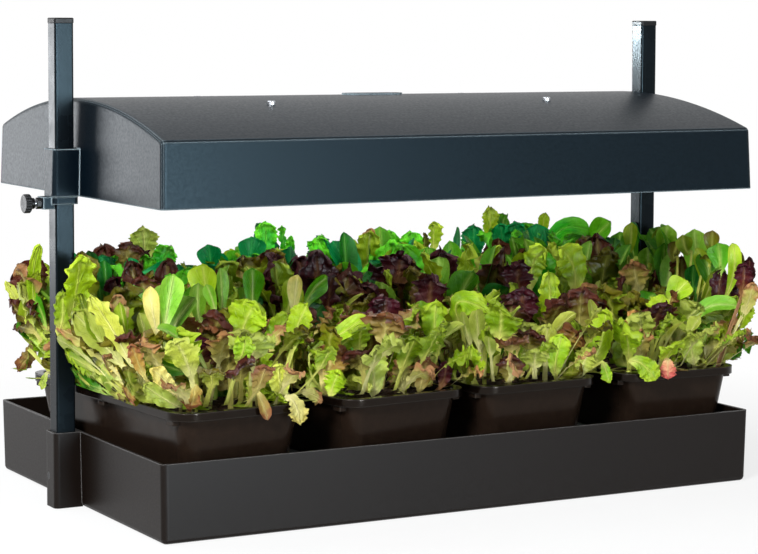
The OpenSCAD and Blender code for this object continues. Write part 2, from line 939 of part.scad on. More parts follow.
module clamp_screw(side) {
    color("#c4c7cb")
        translate([0, 0, screw_z])
            outward(side, screw_tip_x, hub_face_x + knob_hub + screw_seat, clamp_screw_d);
}

module clamp_knob(side) {
    flute_d = 2.4;
    head_face_x = hub_face_x + knob_hub;
    bevel = 0.8;
    color("#1b1c1e")
        translate([0, 0, screw_z])
            difference() {
                union() {
                    outward(side, hub_face_x, head_face_x + 1, knob_hub_d);
                    translate([side * head_face_x, 0, 0])
                        rotate([0, side * 90, 0])
                            rotate_extrude()
                                polygon([[0, 0], [knob_d / 2 - bevel, 0], [knob_d / 2, bevel],
                                    [knob_d / 2, knob_head - bevel],
                                    [knob_d / 2 - bevel, knob_head], [0, knob_head]]);
                }
                for (k = [0 : knob_flutes - 1])
                    rotate([360 * k / knob_flutes, 0, 0])
                        translate([0, knob_d / 2 + flute_d * 0.2, 0])
                            outward(side, head_face_x - through, knob_face_x + through, flute_d, 16);
                outward(side, hub_face_x - through, hub_face_x + knob_hub + screw_seat,
                    clamp_screw_d);
            }
}

reservoir_base();
post(left);  // left_post
post(right);  // right_post
post_cap(left);  // left_post_cap
post_cap(right);  // right_post_cap
post_screws();
wicking_deck();
rear_deck_panels();
deck_legs();
capillary_mat();
grow_tray(0);  // grow_tray_1
grow_tray(1);  // grow_tray_2
grow_tray(2);  // grow_tray_3
grow_tray(3);  // grow_tray_4
growing_medium(0);  // growing_medium_1
growing_medium(1);  // growing_medium_2
growing_medium(2);  // growing_medium_3
growing_medium(3);  // growing_medium_4
plants(0);  // plants_1
plants(1);  // plants_2
plants(2);  // plants_3
plants(3);  // plants_4
hood_shell();
hood_bolts();
bolt_nuts();
lamp_reflector();
ballast_box();
lamp_tubes();
tube_end_caps();
lampholders();
power_inlet();
clamp_collar(left);  // left_clamp_collar
clamp_collar(right);  // right_clamp_collar
lock_nut(left);  // left_lock_nut
lock_nut(right);  // right_lock_nut
clamp_screw(left);  // left_clamp_screw
clamp_screw(right);  // right_clamp_screw
clamp_knob(left);  // left_clamp_knob
clamp_knob(right);  // right_clamp_knob
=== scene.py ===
"""Countertop hydroponic garden: finishes, planting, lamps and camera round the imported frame."""
import math

import bpy
import numpy as np
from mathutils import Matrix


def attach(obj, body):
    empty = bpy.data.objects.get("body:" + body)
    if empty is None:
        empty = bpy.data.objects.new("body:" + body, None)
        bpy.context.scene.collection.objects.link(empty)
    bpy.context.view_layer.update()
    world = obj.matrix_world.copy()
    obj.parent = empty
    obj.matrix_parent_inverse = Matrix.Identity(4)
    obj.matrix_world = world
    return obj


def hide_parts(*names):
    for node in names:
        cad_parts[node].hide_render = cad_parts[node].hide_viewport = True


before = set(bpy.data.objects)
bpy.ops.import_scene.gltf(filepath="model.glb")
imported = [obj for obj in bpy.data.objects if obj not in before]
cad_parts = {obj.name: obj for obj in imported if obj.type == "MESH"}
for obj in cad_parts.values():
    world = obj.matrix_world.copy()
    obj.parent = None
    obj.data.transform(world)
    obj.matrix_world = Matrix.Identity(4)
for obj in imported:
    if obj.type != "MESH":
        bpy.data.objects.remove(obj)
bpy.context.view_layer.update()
scene = bpy.context.scene
MM = 0.001

# ---------------------------------------------------------------- camera


# Width and height of the picture the camera takes, in pixels
PICTURE = (758, 554)
SENSOR, LENS, SHIFT = 36.0, 111.22, -0.12
PITCH, YAW, ROLL = 0.06732, 0.50418, 0.00333
CAMERA_PLACE = (-1.20345, -2.19603, 0.48102)
CAMERA_TURN = (math.pi / 2 - PITCH, -ROLL, -YAW)


def make_camera():
    """The camera, in front of the garden's left end."""
    data = bpy.data.cameras.new("camera")
    data.sensor_width = SENSOR
    data.lens = LENS
    data.shift_y = SHIFT
    data.clip_end = 50.0
    camera = bpy.data.objects.new("camera", data)
    scene.collection.objects.link(camera)
    camera.location = CAMERA_PLACE
    camera.rotation_euler = CAMERA_TURN
    scene.camera = camera


make_camera()

# ---------------------------------------------------------------- materials


def linear(red, green, blue):
    """A display colour, 0 to 255, as the linear colour a shader takes."""
    out = []
    for value in (red, green, blue):
        value /= 255.0
        out.append(value / 12.92 if value <= 0.04045 else ((value + 0.055) / 1.055) ** 2.4)
    return tuple(out)


WHITE = (1.0, 1.0, 1.0)
BLUISH, BROWNISH = (0.60, 0.86, 1.0), (1.0, 0.86, 0.74)


class Graph:
    """A material or a world being built from nodes."""

    def __init__(self, name, world=False):
        self.owner = (bpy.data.worlds if world else bpy.data.materials).new(name)
        self.owner.use_nodes = True
        self.tree = self.owner.node_tree
        self.tree.nodes.clear()
        self.output = self.add("OutputWorld" if world else "OutputMaterial")
        self.place = None if world else self.add("TexCoord").outputs["Object"]

    def add(self, kind, inputs=(), **settings):
        node = self.tree.nodes.new("ShaderNode" + kind)
        for key, value in settings.items():
            setattr(node, key, value)
        for key, value in dict(inputs).items():
            socket = node.inputs[key]
            if isinstance(value, bpy.types.NodeSocket):
                self.tree.links.new(value, socket)
            elif isinstance(value, tuple) and len(value) == 3 and socket.type == "RGBA":
                socket.default_value = (*value, 1.0)
            else:
                socket.default_value = value
        return node

    def noise(self, scale, detail=3.0, roughness=0.55, stretch=(1, 1, 1)):
        place = self.place
        if stretch != (1, 1, 1):
            place = self.add("Mapping", {"Vector": place, "Scale": stretch}).outputs[0]
        return self.add(
            "TexNoise",
            {"Vector": place, "Scale": scale, "Detail": detail, "Roughness": roughness},
        ).outputs["Fac"]

    def span(self, value, low, high, from_low=0.3, from_high=0.7):
        """value, where it goes from from_low to from_high, spread from low to high."""
        inputs = {"Value": value, "From Min": from_low, "From Max": from_high}
        inputs.update({"To Min": low, "To Max": high})
        return self.add("MapRange", inputs).outputs["Result"]

    def maths(self, operation, a, b=0.0):
        return self.add("Math", {0: a, 1: b}, operation=operation).outputs[0]

    def blend(self, factor, a, b):
        return self.add("Mix", {0: factor, 6: a, 7: b}, data_type="RGBA").outputs[2]

    def shift(self, colour, hue, saturation, value):
        inputs = {"Hue": hue, "Saturation": saturation, "Value": value, "Color": colour}
        return self.add("HueSaturation", inputs).outputs[0]

    def bump(self, height, depth, normal=None, strength=1.0):
        inputs = {"Height": height, "Distance": depth, "Strength": strength}
        if normal is not None:
            inputs["Normal"] = normal
        return self.add("Bump", inputs).outputs[0]

    def edge_normal(self, radius):
        """The surface's direction, with its edges rounded to a radius."""
        return self.add("Bevel", {"Radius": radius}, samples=6).outputs[0]

    def direct(self):
        """1 for camera, glossy and transmission rays, which see a plain white studio."""
        path = self.add("LightPath").outputs
        seen = self.maths("MAXIMUM", path["Is Camera Ray"], path["Is Glossy Ray"])
        return self.maths("MAXIMUM", seen, path["Is Transmission Ray"])

    def join(self, factor, first, second):
        """Two shaders mixed, as what the output shows."""
        mixed = self.add("MixShader", {0: factor, 1: first.outputs[0], 2: second.outputs[0]})
        self.tree.links.new(mixed.outputs[0], self.output.inputs["Surface"])
        return self.owner

    def surface(self, inputs):
        """One principled shader, as what the output shows."""
        shader = self.add("BsdfPrincipled", inputs)
        self.tree.links.new(shader.outputs[0], self.output.inputs["Surface"])
        return self.owner


def moulded(
    name, colour, pale, roughness, specular, sheen=WHITE, grain=900.0, edge=0.0009,
    edge_colour_wear_and_highlight=(0.08, 0.08, 0.08), polished_painted_shade_from=None,
):
    """Plastic from a mould: a fine grain, a faint bloom, edges a little rounded, with an edge
    colour that is partly wear and partly a painted highlight.
    Above the height its last argument gives, it is smoother and glossier, and darker as painted
    shade."""
    g = Graph(name)
    bloom = g.span(g.noise(5.0, 3.0, 0.5), 0.0, 0.35, 0.35, 0.75)
    speck = g.span(g.noise(grain * 0.45, 2.0), 0.0, 0.4, 0.4, 0.75)
    rounded = g.edge_normal(edge)
    flat = g.add("NewGeometry").outputs["Normal"]
    turned = g.add("VectorMath", {0: rounded, 1: flat}, operation="DOT_PRODUCT").outputs["Value"]
    wear_and_highlight_edges = g.span(turned, 0.8, 0.0, 0.80, 0.995)
    tone = g.blend(g.maths("ADD", bloom, speck), colour, pale)
    rough = g.span(g.noise(grain * 0.3, 3.0), roughness - 0.05, roughness + 0.06)
    shine = specular
    if polished_painted_shade_from is not None:
        height = g.add("SeparateXYZ", {0: g.place}).outputs[2]
        lip = g.span(height, 0.0, 1.0, polished_painted_shade_from, polished_painted_shade_from + 0.001)
        # painted shade: above that height the colour is drawn at 0.35 of its strength
        tone = g.blend(lip, tone, tuple(0.35 * c for c in colour))
        rough = g.maths("MULTIPLY", rough, g.span(lip, 1.0, 0.7, 0.0, 1.0))
        shine = g.span(lip, 0.65 * specular, specular, 0.0, 1.0)
    # along the edges the colour turns to the given edge colour: wear, and on the hood and the base
    # a pale painted highlight
    tone_with_wear_and_highlight = g.blend(wear_and_highlight_edges, tone, edge_colour_wear_and_highlight)
    normal = g.bump(g.noise(grain, 2.0, 0.6), 0.00003, rounded, 0.35)
    return g.surface(
        {
            "Base Color": tone_with_wear_and_highlight,
            "Roughness": rough,
            "Specular IOR Level": shine,
            "Specular Tint": sheen,
            "Normal": normal,
        }
    )


def coated_steel(name, colour, pale, roughness, specular, sheen=WHITE):
    """Powder coat, with its orange peel."""
    g = Graph(name)
    shade = g.span(g.noise(14.0, 4.0, 0.6, (1, 1, 0.3)), 0.0, 1.0, 0.4, 0.7)
    rounded = g.edge_normal(0.0012)
    peel = g.bump(g.noise(420.0, 2.0, 0.45), 0.00006, rounded, 0.6)
    scratch = g.span(g.noise(240.0, 2.0, 0.5, (1, 1, 0.02)), 0.0, 0.10, 0.62, 0.8)
    rough = g.maths("ADD", g.span(g.noise(45.0, 3.0), roughness - 0.05, roughness + 0.06), scratch)
    return g.surface(
        {
            "Base Color": g.blend(shade, colour, pale),
            "Roughness": rough,
            "Specular IOR Level": specular,
            "Specular Tint": sheen,
            "Normal": peel,
        }
    )


def bright_metal(name, colour, dull, roughness, lines=(1, 1, 1)):
    """Zinc plate or spun aluminium: cloudy crystals, or turned lines."""
    g = Graph(name)
    cloud = g.span(g.noise(180.0, 4.0, 0.65, lines), 0.0, 1.0, 0.35, 0.68)
    rough = g.span(g.noise(300.0, 3.0, 0.6, lines), roughness - 0.08, roughness + 0.12)
    normal = g.bump(g.noise(520.0, 2.0, 0.6, lines), 0.00004, g.edge_normal(0.0005), 0.5)
    return g.surface(
        {
            "Base Color": g.blend(cloud, dull, colour),
            "Metallic": 1.0,
            "Roughness": rough,
            "Normal": normal,
        }
    )


def painted_sheet(name, colour, dull, roughness):
    """Even paint or plain plastic, a little cloudy."""
    g = Graph(name)
    shade = g.span(g.noise(11.0, 5.0, 0.6), 0.0, 1.0, 0.42, 0.7)
    normal = g.bump(g.noise(330.0, 2.0), 0.00004, g.edge_normal(0.0008), 0.5)
    return g.surface(
        {
            "Base Color": g.blend(shade, colour, dull),
            "Roughness": g.span(g.noise(80.0), roughness - 0.05, roughness + 0.08),
            "Normal": normal,
        }
    )


def glowing_tube(name, strength):
    """Lit phosphor: even along the middle, with warm grey ends."""
    g = Graph(name)
    along = g.add("SeparateXYZ", {0: g.place}).outputs[0]
    reach = g.maths("ABSOLUTE", along)
    end = g.span(reach, 0.0, 1.0, 0.225, 0.262)
    cloud = g.span(g.noise(70.0, 3.0), 0.96, 1.0)
    tone = g.blend(end, (1.0, 0.97, 0.90), (0.55, 0.45, 0.36))
    glow = g.blend(cloud, (0.0, 0.0, 0.0), tone)
    level = g.span(end, strength, strength * 0.25, 0.0, 1.0)
    return g.surface(
        {
            "Base Color": tone,
            "Roughness": 0.25,
            "Emission Color": glow,
            "Emission Strength": level,
        }
    )


def peat(name):
    """Damp peat with pieces of bark in it."""
    g = Graph(name)
    lumps = g.noise(130.0, 6.0, 0.7)
    fibre = g.noise(420.0, 3.0, 0.6, (1.0, 0.3, 0.6))
    tone = g.blend(g.span(lumps, 0.0, 1.0, 0.35, 0.65), linear(26, 17, 11), linear(74, 52, 34))
    bark = g.span(g.noise(70.0, 2.0), 0.0, 0.7, 0.62, 0.72)
    tone = g.blend(bark, tone, linear(112, 80, 50))
    height = g.maths("ADD", lumps, g.maths("MULTIPLY", fibre, 0.4))
    return g.surface(
        {
            "Base Color": tone,
            "Roughness": g.span(lumps, 0.95, 0.7),
            "Specular IOR Level": 0.25,
            "Normal": g.bump(height, 0.0022, None, 0.9),
        }
    )


def felt(name):
    """Felt with damp patches and some pale lint."""
    g = Graph(name)
    fibre = g.noise(900.0, 4.0, 0.75, (1.0, 0.35, 1.0))
    cross = g.noise(800.0, 4.0, 0.75, (0.3, 1.0, 1.0))
    height = g.maths("ADD", fibre, cross)
    damp = g.span(g.noise(12.0, 4.0, 0.6), 0.0, 1.0, 0.4, 0.65)
    tone = g.blend(damp, linear(17, 18, 20), linear(9, 9, 10))
    lint = g.span(height, 0.0, 0.5, 1.15, 1.35)
    return g.surface(
        {
            "Base Color": g.blend(lint, tone, linear(48, 49, 52)),
            "Roughness": g.span(damp, 0.95, 0.62, 0.0, 1.0),
            "Sheen Weight": 0.25,
            "Sheen Roughness": 0.5,
            "Normal": g.bump(height, 0.0004, None, 0.8),
        }
    )


def leaf_material(name, gloss, vein, thin):
    """Leaf tissue: the tint is in the mesh, the ribs and blisters are worked out from the
    distance along and across the leaf, and some light comes through."""
    g = Graph(name)
    tint = g.add("Attribute", attribute_name="tint").outputs["Color"]
    along = g.add("Attribute", attribute_name="along").outputs["Fac"]
    across = g.add("Attribute", attribute_name="across").outputs["Fac"]
    side = g.maths("ABSOLUTE", across)
    wobble = g.maths("MULTIPLY", g.maths("SUBTRACT", g.noise(90.0, 2.0), 0.5), 0.9)
    rib = g.span(g.maths("ADD", side, g.maths("MULTIPLY", along, 0.05)), 1.0, 0.0, 0.045, 0.13)
    phase = g.maths("SUBTRACT", g.maths("MULTIPLY", along, 15.0), g.maths("MULTIPLY", side, 4.2))
    wave = g.maths("PINGPONG", g.maths("ADD", phase, wobble), 1.0)
    fading = g.span(side, 0.75, 0.0, 0.2, 1.0)
    branch = g.maths("MULTIPLY", g.span(wave, 1.0, 0.0, 0.0, 0.2), fading)
    veins = g.maths("MAXIMUM", rib, branch)
    blister = g.noise(260.0, 3.0, 0.6)
    patch = g.noise(55.0, 3.0, 0.6)
    lit = g.shift(tint, 0.492, 0.92, 1.3)
    deep = g.shift(tint, 0.508, 1.1, 0.55)
    tone = g.blend(g.span(patch, 0.0, 0.6, 0.4, 0.68), tint, deep)
    tone = g.blend(g.span(blister, 0.0, 0.16, 0.45, 0.7), tone, lit)
    tone = g.blend(g.maths("MULTIPLY", veins, vein), tone, lit)
    height = g.maths("SUBTRACT", blister, g.maths("MULTIPLY", veins, 0.9))
    normal = g.bump(height, 0.0011, None, 0.75)
    front = g.add(
        "BsdfPrincipled",
        {
            "Base Color": tone,
            "Roughness": g.span(blister, gloss - 0.09, gloss + 0.12),
            "Specular IOR Level": 0.12,
            "Normal": normal,
        },
    )
    through = g.shift(tone, 0.495, 1.02, 1.25)
    back = g.add("BsdfTranslucent", {"Color": through, "Normal": normal})
    return g.join(thin, front, back)


# the last colour given to the base and to the hood is a pale painted highlight along their edges;
# for the tray and the rest it is wear
BASE = moulded(
    "base_plastic", linear(14, 8, 5), linear(21, 14, 10), 0.42, 0.13, WHITE, 1700.0, 0.0014,
    (0.16, 0.155, 0.15),
)
HOOD = moulded(
    "hood_plastic", linear(3, 9, 15), linear(6, 15, 24), 0.38, 0.11, BLUISH, 1200.0, 0.0026,
    (0.36, 0.45, 0.49),
)
DECK = moulded("deck_plastic", linear(11, 10, 11), linear(18, 17, 18), 0.5, 0.14)
# the tray's rim, from 0.111 m up, is drawn darker as painted shade
TRAY = moulded(
    "tray_plastic", linear(27, 19, 14), linear(38, 28, 21), 0.2, 0.17, BROWNISH, 300.0, 0.0022,
    (0.04, 0.035, 0.03), 0.111,
)
POST = coated_steel("post_coat", linear(7, 10, 13), linear(11, 16, 20), 0.28, 0.105, BLUISH)
CAP = moulded("cap_plastic", linear(10, 11, 12), linear(16, 17, 19), 0.42, 0.14)
KNOB = moulded("knob_plastic", linear(9, 10, 11), linear(17, 18, 20), 0.36, 0.14, WHITE, 1300.0)
ZINC = bright_metal("zinc_plate", (0.50, 0.51, 0.53), (0.26, 0.27, 0.29), 0.34)
ALLOY = bright_metal("spun_cap", (0.80, 0.80, 0.81), (0.55, 0.55, 0.56), 0.28, (1, 0.1, 0.1))
BLACKED = coated_steel("blacked_screw", linear(24, 25, 27), linear(44, 46, 49), 0.4, 0.4)
LACQUER = painted_sheet("white_lacquer", (0.78, 0.79, 0.80), (0.66, 0.67, 0.68), 0.28)
CASE = painted_sheet("ballast_case", (0.60, 0.61, 0.62), (0.50, 0.51, 0.52), 0.45)
HOLDER = painted_sheet("holder_plastic", (0.78, 0.78, 0.74), (0.70, 0.70, 0.66), 0.35)
TUBE = glowing_tube("lit_tube", 9.0)
PEAT = peat("damp_peat")
FELT = felt("black_felt")
CRISP = leaf_material("crisp_leaf", 0.4, 0.42, 0.2)
SMOOTH = leaf_material("smooth_leaf", 0.34, 0.6, 0.16)
BRONZE = leaf_material("bronze_leaf", 0.36, 0.3, 0.13)

# Each finish, and the nodes that have it
FINISHES = (
    (BASE, "reservoir_base"),
    (POST, "left_post", "right_post"),
    (CAP, "left_post_cap", "right_post_cap"),
    (BLACKED, "post_screws"),
    (DECK, "wicking_deck", "rear_deck_panels", "deck_legs"),
    (HOOD, "hood_shell", "left_clamp_collar", "right_clamp_collar"),
    (ZINC, "hood_bolts", "bolt_nuts", "left_clamp_screw", "right_clamp_screw"),
    (LACQUER, "lamp_reflector"),
    (CASE, "ballast_box"),
    (TUBE, "lamp_tubes"),
    (ALLOY, "tube_end_caps"),
    (HOLDER, "lampholders"),
    (KNOB, "power_inlet", "left_lock_nut", "right_lock_nut"),
    (KNOB, "left_clamp_knob", "right_clamp_knob"),
    (TRAY, "grow_tray_1", "grow_tray_2", "grow_tray_3", "grow_tray_4"),
    (PEAT, "growing_medium_1", "growing_medium_2", "growing_medium_3", "growing_medium_4"),
)
for finish, *nodes in FINISHES:
    for node in nodes:
        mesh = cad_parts[node].data
        mesh.materials.clear()
        mesh.materials.append(finish)

# ---------------------------------------------------------------- meshes


def mesh_object(name, points, faces, material, smooth=True, values=None, tints=None):
    """A mesh from arrays: faces all have the same number of corners."""
    mesh = bpy.data.meshes.new(name)
    corners = faces.shape[1]
    mesh.vertices.add(len(points))
    mesh.vertices.foreach_set("co", np.ascontiguousarray(points, dtype=np.float32).ravel())
    mesh.loops.add(faces.size)
    mesh.loops.foreach_set("vertex_index", faces.astype(np.int32).ravel())
    mesh.polygons.add(len(faces))
    mesh.polygons.foreach_set("loop_start", np.arange(0, faces.size, corners, dtype=np.int32))
    mesh.polygons.foreach_set("loop_total", np.full(len(faces), corners, dtype=np.int32))
    mesh.polygons.foreach_set("use_smooth", np.full(len(faces), smooth, dtype=bool))
    for key, data in (values or {}).items():
        attribute = mesh.attributes.new(key, "FLOAT", "POINT")
        attribute.data.foreach_set("value", np.asarray(data, dtype=np.float32))
    if tints is not None:
        layer = mesh.color_attributes.new("tint", "FLOAT_COLOR", "POINT")
        rgba = np.concatenate([tints, np.ones((len(tints), 1))], axis=1)
        layer.data.foreach_set("color", rgba.astype(np.float32).ravel())
    mesh.materials.append(material)
    mesh.validate()
    mesh.update()
    piece = bpy.data.objects.new(name, mesh)
    scene.collection.objects.link(piece)
    return piece


def grid_faces(index):
    """The four-cornered faces between the points of a grid, given their numbers."""
    corners = [index[:-1, :-1], index[1:, :-1], index[1:, 1:], index[:-1, 1:]]
    return np.stack(corners, axis=-1).reshape(-1, 4)


def slab_faces(first, shape, flip):
    """Faces of a thin closed slab: a grid of points numbered from first, the same grid again
    for its other side, and the border between the two. flip turns each face over."""
    size = shape[0] * shape[1]
    index = first + np.arange(size).reshape(shape)
    ring = np.concatenate([index[0], index[1:, -1], index[-1, -2::-1], index[-2:0:-1, 0]])
    after = np.roll(ring, -1)
    side, border = grid_faces(index), np.stack([ring, after, after + size, ring + size], -1)
    if flip:
        side, border = (np.roll(faces[:, ::-1], 1, axis=1) for faces in (side, border))
    return [side, side[:, ::-1] + size, border]


# ---------------------------------------------------------------- plants

# Centre of each tray, in mm, and how far it is turned, in degrees
TRAY_PLACES = ((-261.5, -46.2, 4.2), (-86.8, -43.6, 5.5), (82.6, -37.2, 2.0), (267.9, -35.7, -0.8))
TRAY_HALF = 74.0
# Heights of the soil and of the trays' rims, and half the soil's width and length
SOIL = 112.8
RIM = 121.3
HALF_W, HALF_L = 56.0, 148.0
# How high leaves reach under the hood, and beyond which x and y they stay under its edge
HEADROOM, END_HEADROOM = 284.0, 261.0
HOOD_EDGE_X, HOOD_EDGE_Y = 333.0, 210.0
# The posts' inner faces and half their width, and how far leaves reach past the trays
POST_FACE, POST_HALF = 341.4, 15.0
END_REACH, FRONT_REACH, BACK_REACH = 372.0, -226.0, 222.0


def palette(body, tip, share, stalk):
    """Colours of a leaf: its blade, its edge, how far the edge's colour comes in, its stalk."""
    return tuple(np.array(linear(*c)) for c in (body, tip)) + (share, np.array(linear(*stalk)))


PALETTES = {
    "lime": palette((146, 184, 26), (188, 212, 60), 0.45, (222, 226, 116)),
    "pale": palette((188, 204, 82), (212, 222, 104), 0.4, (234, 232, 156)),
    "cream": palette((230, 220, 130), (222, 204, 104), 0.5, (238, 230, 166)),
    "mint": palette((122, 186, 50), (168, 212, 84), 0.35, (214, 228, 140)),
    "green": palette((78, 158, 22), (116, 190, 42), 0.3, (190, 220, 104)),
    "vivid": palette((40, 182, 22), (128, 232, 50), 0.5, (130, 216, 66)),
    "deep": palette((16, 100, 22), (40, 136, 38), 0.3, (104, 176, 66)),
    "teal": palette((4, 134, 66), (16, 170, 92), 0.3, (60, 180, 96)),
    "olive": palette((122, 134, 22), (110, 82, 26), 0.45, (200, 202, 96)),
    "bronze": palette((108, 94, 32), (88, 42, 32), 0.7, (200, 192, 104)),
    "rust": palette((158, 130, 62), (124, 62, 46), 0.55, (214, 202, 120)),
    "blush": palette((186, 180, 96), (166, 88, 74), 0.5, (230, 222, 150)),
    "pink": palette((212, 146, 112), (190, 90, 82), 0.7, (230, 208, 146)),
    "tan": palette((230, 198, 118), (204, 144, 76), 0.6, (232, 216, 150)),
    "wine": palette((84, 34, 32), (62, 18, 28), 0.85, (150, 110, 70)),
}
WARM = ("olive", "bronze", "rust", "blush", "pink", "tan", "wine")

# What grows beside a leaf of each palette
NEIGHBOURS = {
    "lime": ("lime", "green", "olive"),
    "pale": ("lime", "pale", "olive"),
    "cream": ("pale", "lime"),
    "mint": ("mint", "green", "lime"),
    "green": ("green", "deep", "mint"),
    "vivid": ("vivid", "teal"),
    "deep": ("deep", "green"),
    "teal": ("teal", "vivid", "deep"),
    "olive": ("olive", "lime"),
    "bronze": ("bronze", "rust", "olive"),
    "rust": ("blush", "olive", "lime"),
    "blush": ("lime", "blush", "pale"),
    "pink": ("lime", "blush"),
    "tan": ("pale", "olive"),
    "wine": ("wine", "bronze"),
}

# rows, columns, rise and roundness of the outline, cup, margin ruffle, number of ruffles,
# depth and number of the teeth, lobes, blistering
KINDS = {
    "frill": (44, 15, 0.62, 5.0, 0.10, 0.26, 3.6, 0.09, 9.0, 0.06, 0.05),
    "spoon": (20, 9, 0.95, 4.2, 0.36, 0.03, 1.4, 0.0, 1.0, 0.0, 0.018),
    "oak": (42, 13, 0.62, 5.0, 0.08, 0.32, 3.2, 0.12, 6.5, 0.17, 0.07),
    "curly": (42, 13, 0.6, 6.0, 0.06, 0.40, 4.2, 0.15, 8.0, 0.10, 0.07),
    "strap": (24, 9, 0.5, 3.0, 0.45, 0.06, 3.0, 0.04, 6.0, 0.0, 0.03),
}


class Patchwork:
    """Leaves gathered into one mesh."""

    def __init__(self):
        self.points, self.faces, self.along, self.across, self.tints = [], [], [], [], []
        self.count = 0

    def add(self, points, along, across, tints):
        rows, columns = points.shape[:2]
        index = self.count + np.arange(rows * columns).reshape(rows, columns)
        self.faces.append(grid_faces(index))
        self.points.append(points.reshape(-1, 3))
        self.along.append(along.ravel())
        self.across.append(across.ravel())
        self.tints.append(tints.reshape(-1, 3))
        self.count += rows * columns

    def build(self, name, material):
        return mesh_object(
            name,
            np.concatenate(self.points) * MM,
            np.concatenate(self.faces),
            material,
            values={"along": np.concatenate(self.along), "across": np.concatenate(self.across)},
            tints=np.concatenate(self.tints),
        )


def mix(a, b, amount):
    """Tints a and b blended by an amount for each point."""
    amount = np.asarray(amount)[..., None]
    return a * (1 - amount) + b * amount


def ramp(value, low, high):
    """From 0 to 1, gently, as value goes from low to high."""
    x = np.clip((value - low) / (high - low), 0, 1)
    return x * x * (3 - 2 * x)


def frayed(value):
    """An uneven wave from about -1 to 1."""
    turn = 2 * np.pi * value
    return 0.6 * np.sin(turn) + 0.4 * np.sin(2.37 * turn + 1.0)


def unit(v):
    """Vectors made 1 long."""
    return v / np.maximum(np.linalg.norm(v, axis=-1, keepdims=True), 1e-9)


def soft_limit(value, limit, zone, side):
    """Values run up against a limit and spread out short of it."""
    over = side * value - (side * limit - zone)
    eased = zone * (1 - np.exp(-np.clip(over, 0, None) / zone))
    return np.where(over > 0, side * (side * limit - zone + eased), value)


def between(gap, y):
    """The winding line between the rims of two neighbouring trays, clear of them both."""
    edges = []
    for (x, middle, turn), side in zip(TRAY_PLACES[gap - 1 : gap + 1], (1, -1)):
        theta = math.radians(turn)
        edges.append(x + side * TRAY_HALF / math.cos(theta) - (y - middle) * math.tan(theta))
    room = np.clip((edges[1] - edges[0]) / 2 - 3.0, 0.0, 9.0)
    return (edges[0] + edges[1]) / 2 + room * np.sin(y / 17.0 + 2.0 * gap)


def keep_in(points, bed, low):
    """Keeps a leaf between its neighbours, round the post, above low and under the hood."""
    x, y, z = points[..., 0], points[..., 1], points[..., 2]
    at_edge = np.abs(x).max() > HOOD_EDGE_X or np.abs(y).max() > HOOD_EDGE_Y
    room = END_HEADROOM if at_edge else HEADROOM
    z = SOIL + (z - SOIL) * min(1.0, (room - SOIL) / (z.max() - SOIL))
    reach = np.where(np.abs(y) < POST_HALF, POST_FACE, END_REACH)
    # low down in front of the left post they stay nearer the tray
    share = np.where(y < 20.0, np.clip((z - 122.0) / 60.0, 0.0, 1.0), 1.0)
    west = -POST_FACE - (reach - POST_FACE) * share if bed == 0 else between(bed, y) + 1.0
    east = reach if bed == 3 else between(bed + 1, y) - 1.0
    x = soft_limit(x, east, 14.0 if bed < 3 else 5.0, 1)
    x = soft_limit(x, west, 14.0 if bed > 0 else 5.0, -1)
    y = soft_limit(y, np.full_like(y, BACK_REACH), 8.0, 1)
    y = soft_limit(y, np.full_like(y, FRONT_REACH), 8.0, -1)
    z = soft_limit(z, np.full_like(z, low), 3.0, -1)
    return np.stack([x, y, z], axis=-1)


def steps_of(kind, stalk):
    """How far along its leaf each row of points lies, closer together near the tip."""
    rows = KINDS[kind][0]
    foot = np.linspace(0, stalk, 7)[:-1]
    rest = np.sin(np.linspace(0, np.pi / 2, rows - 6))
    return np.concatenate([foot, stalk + (1 - stalk) * rest])


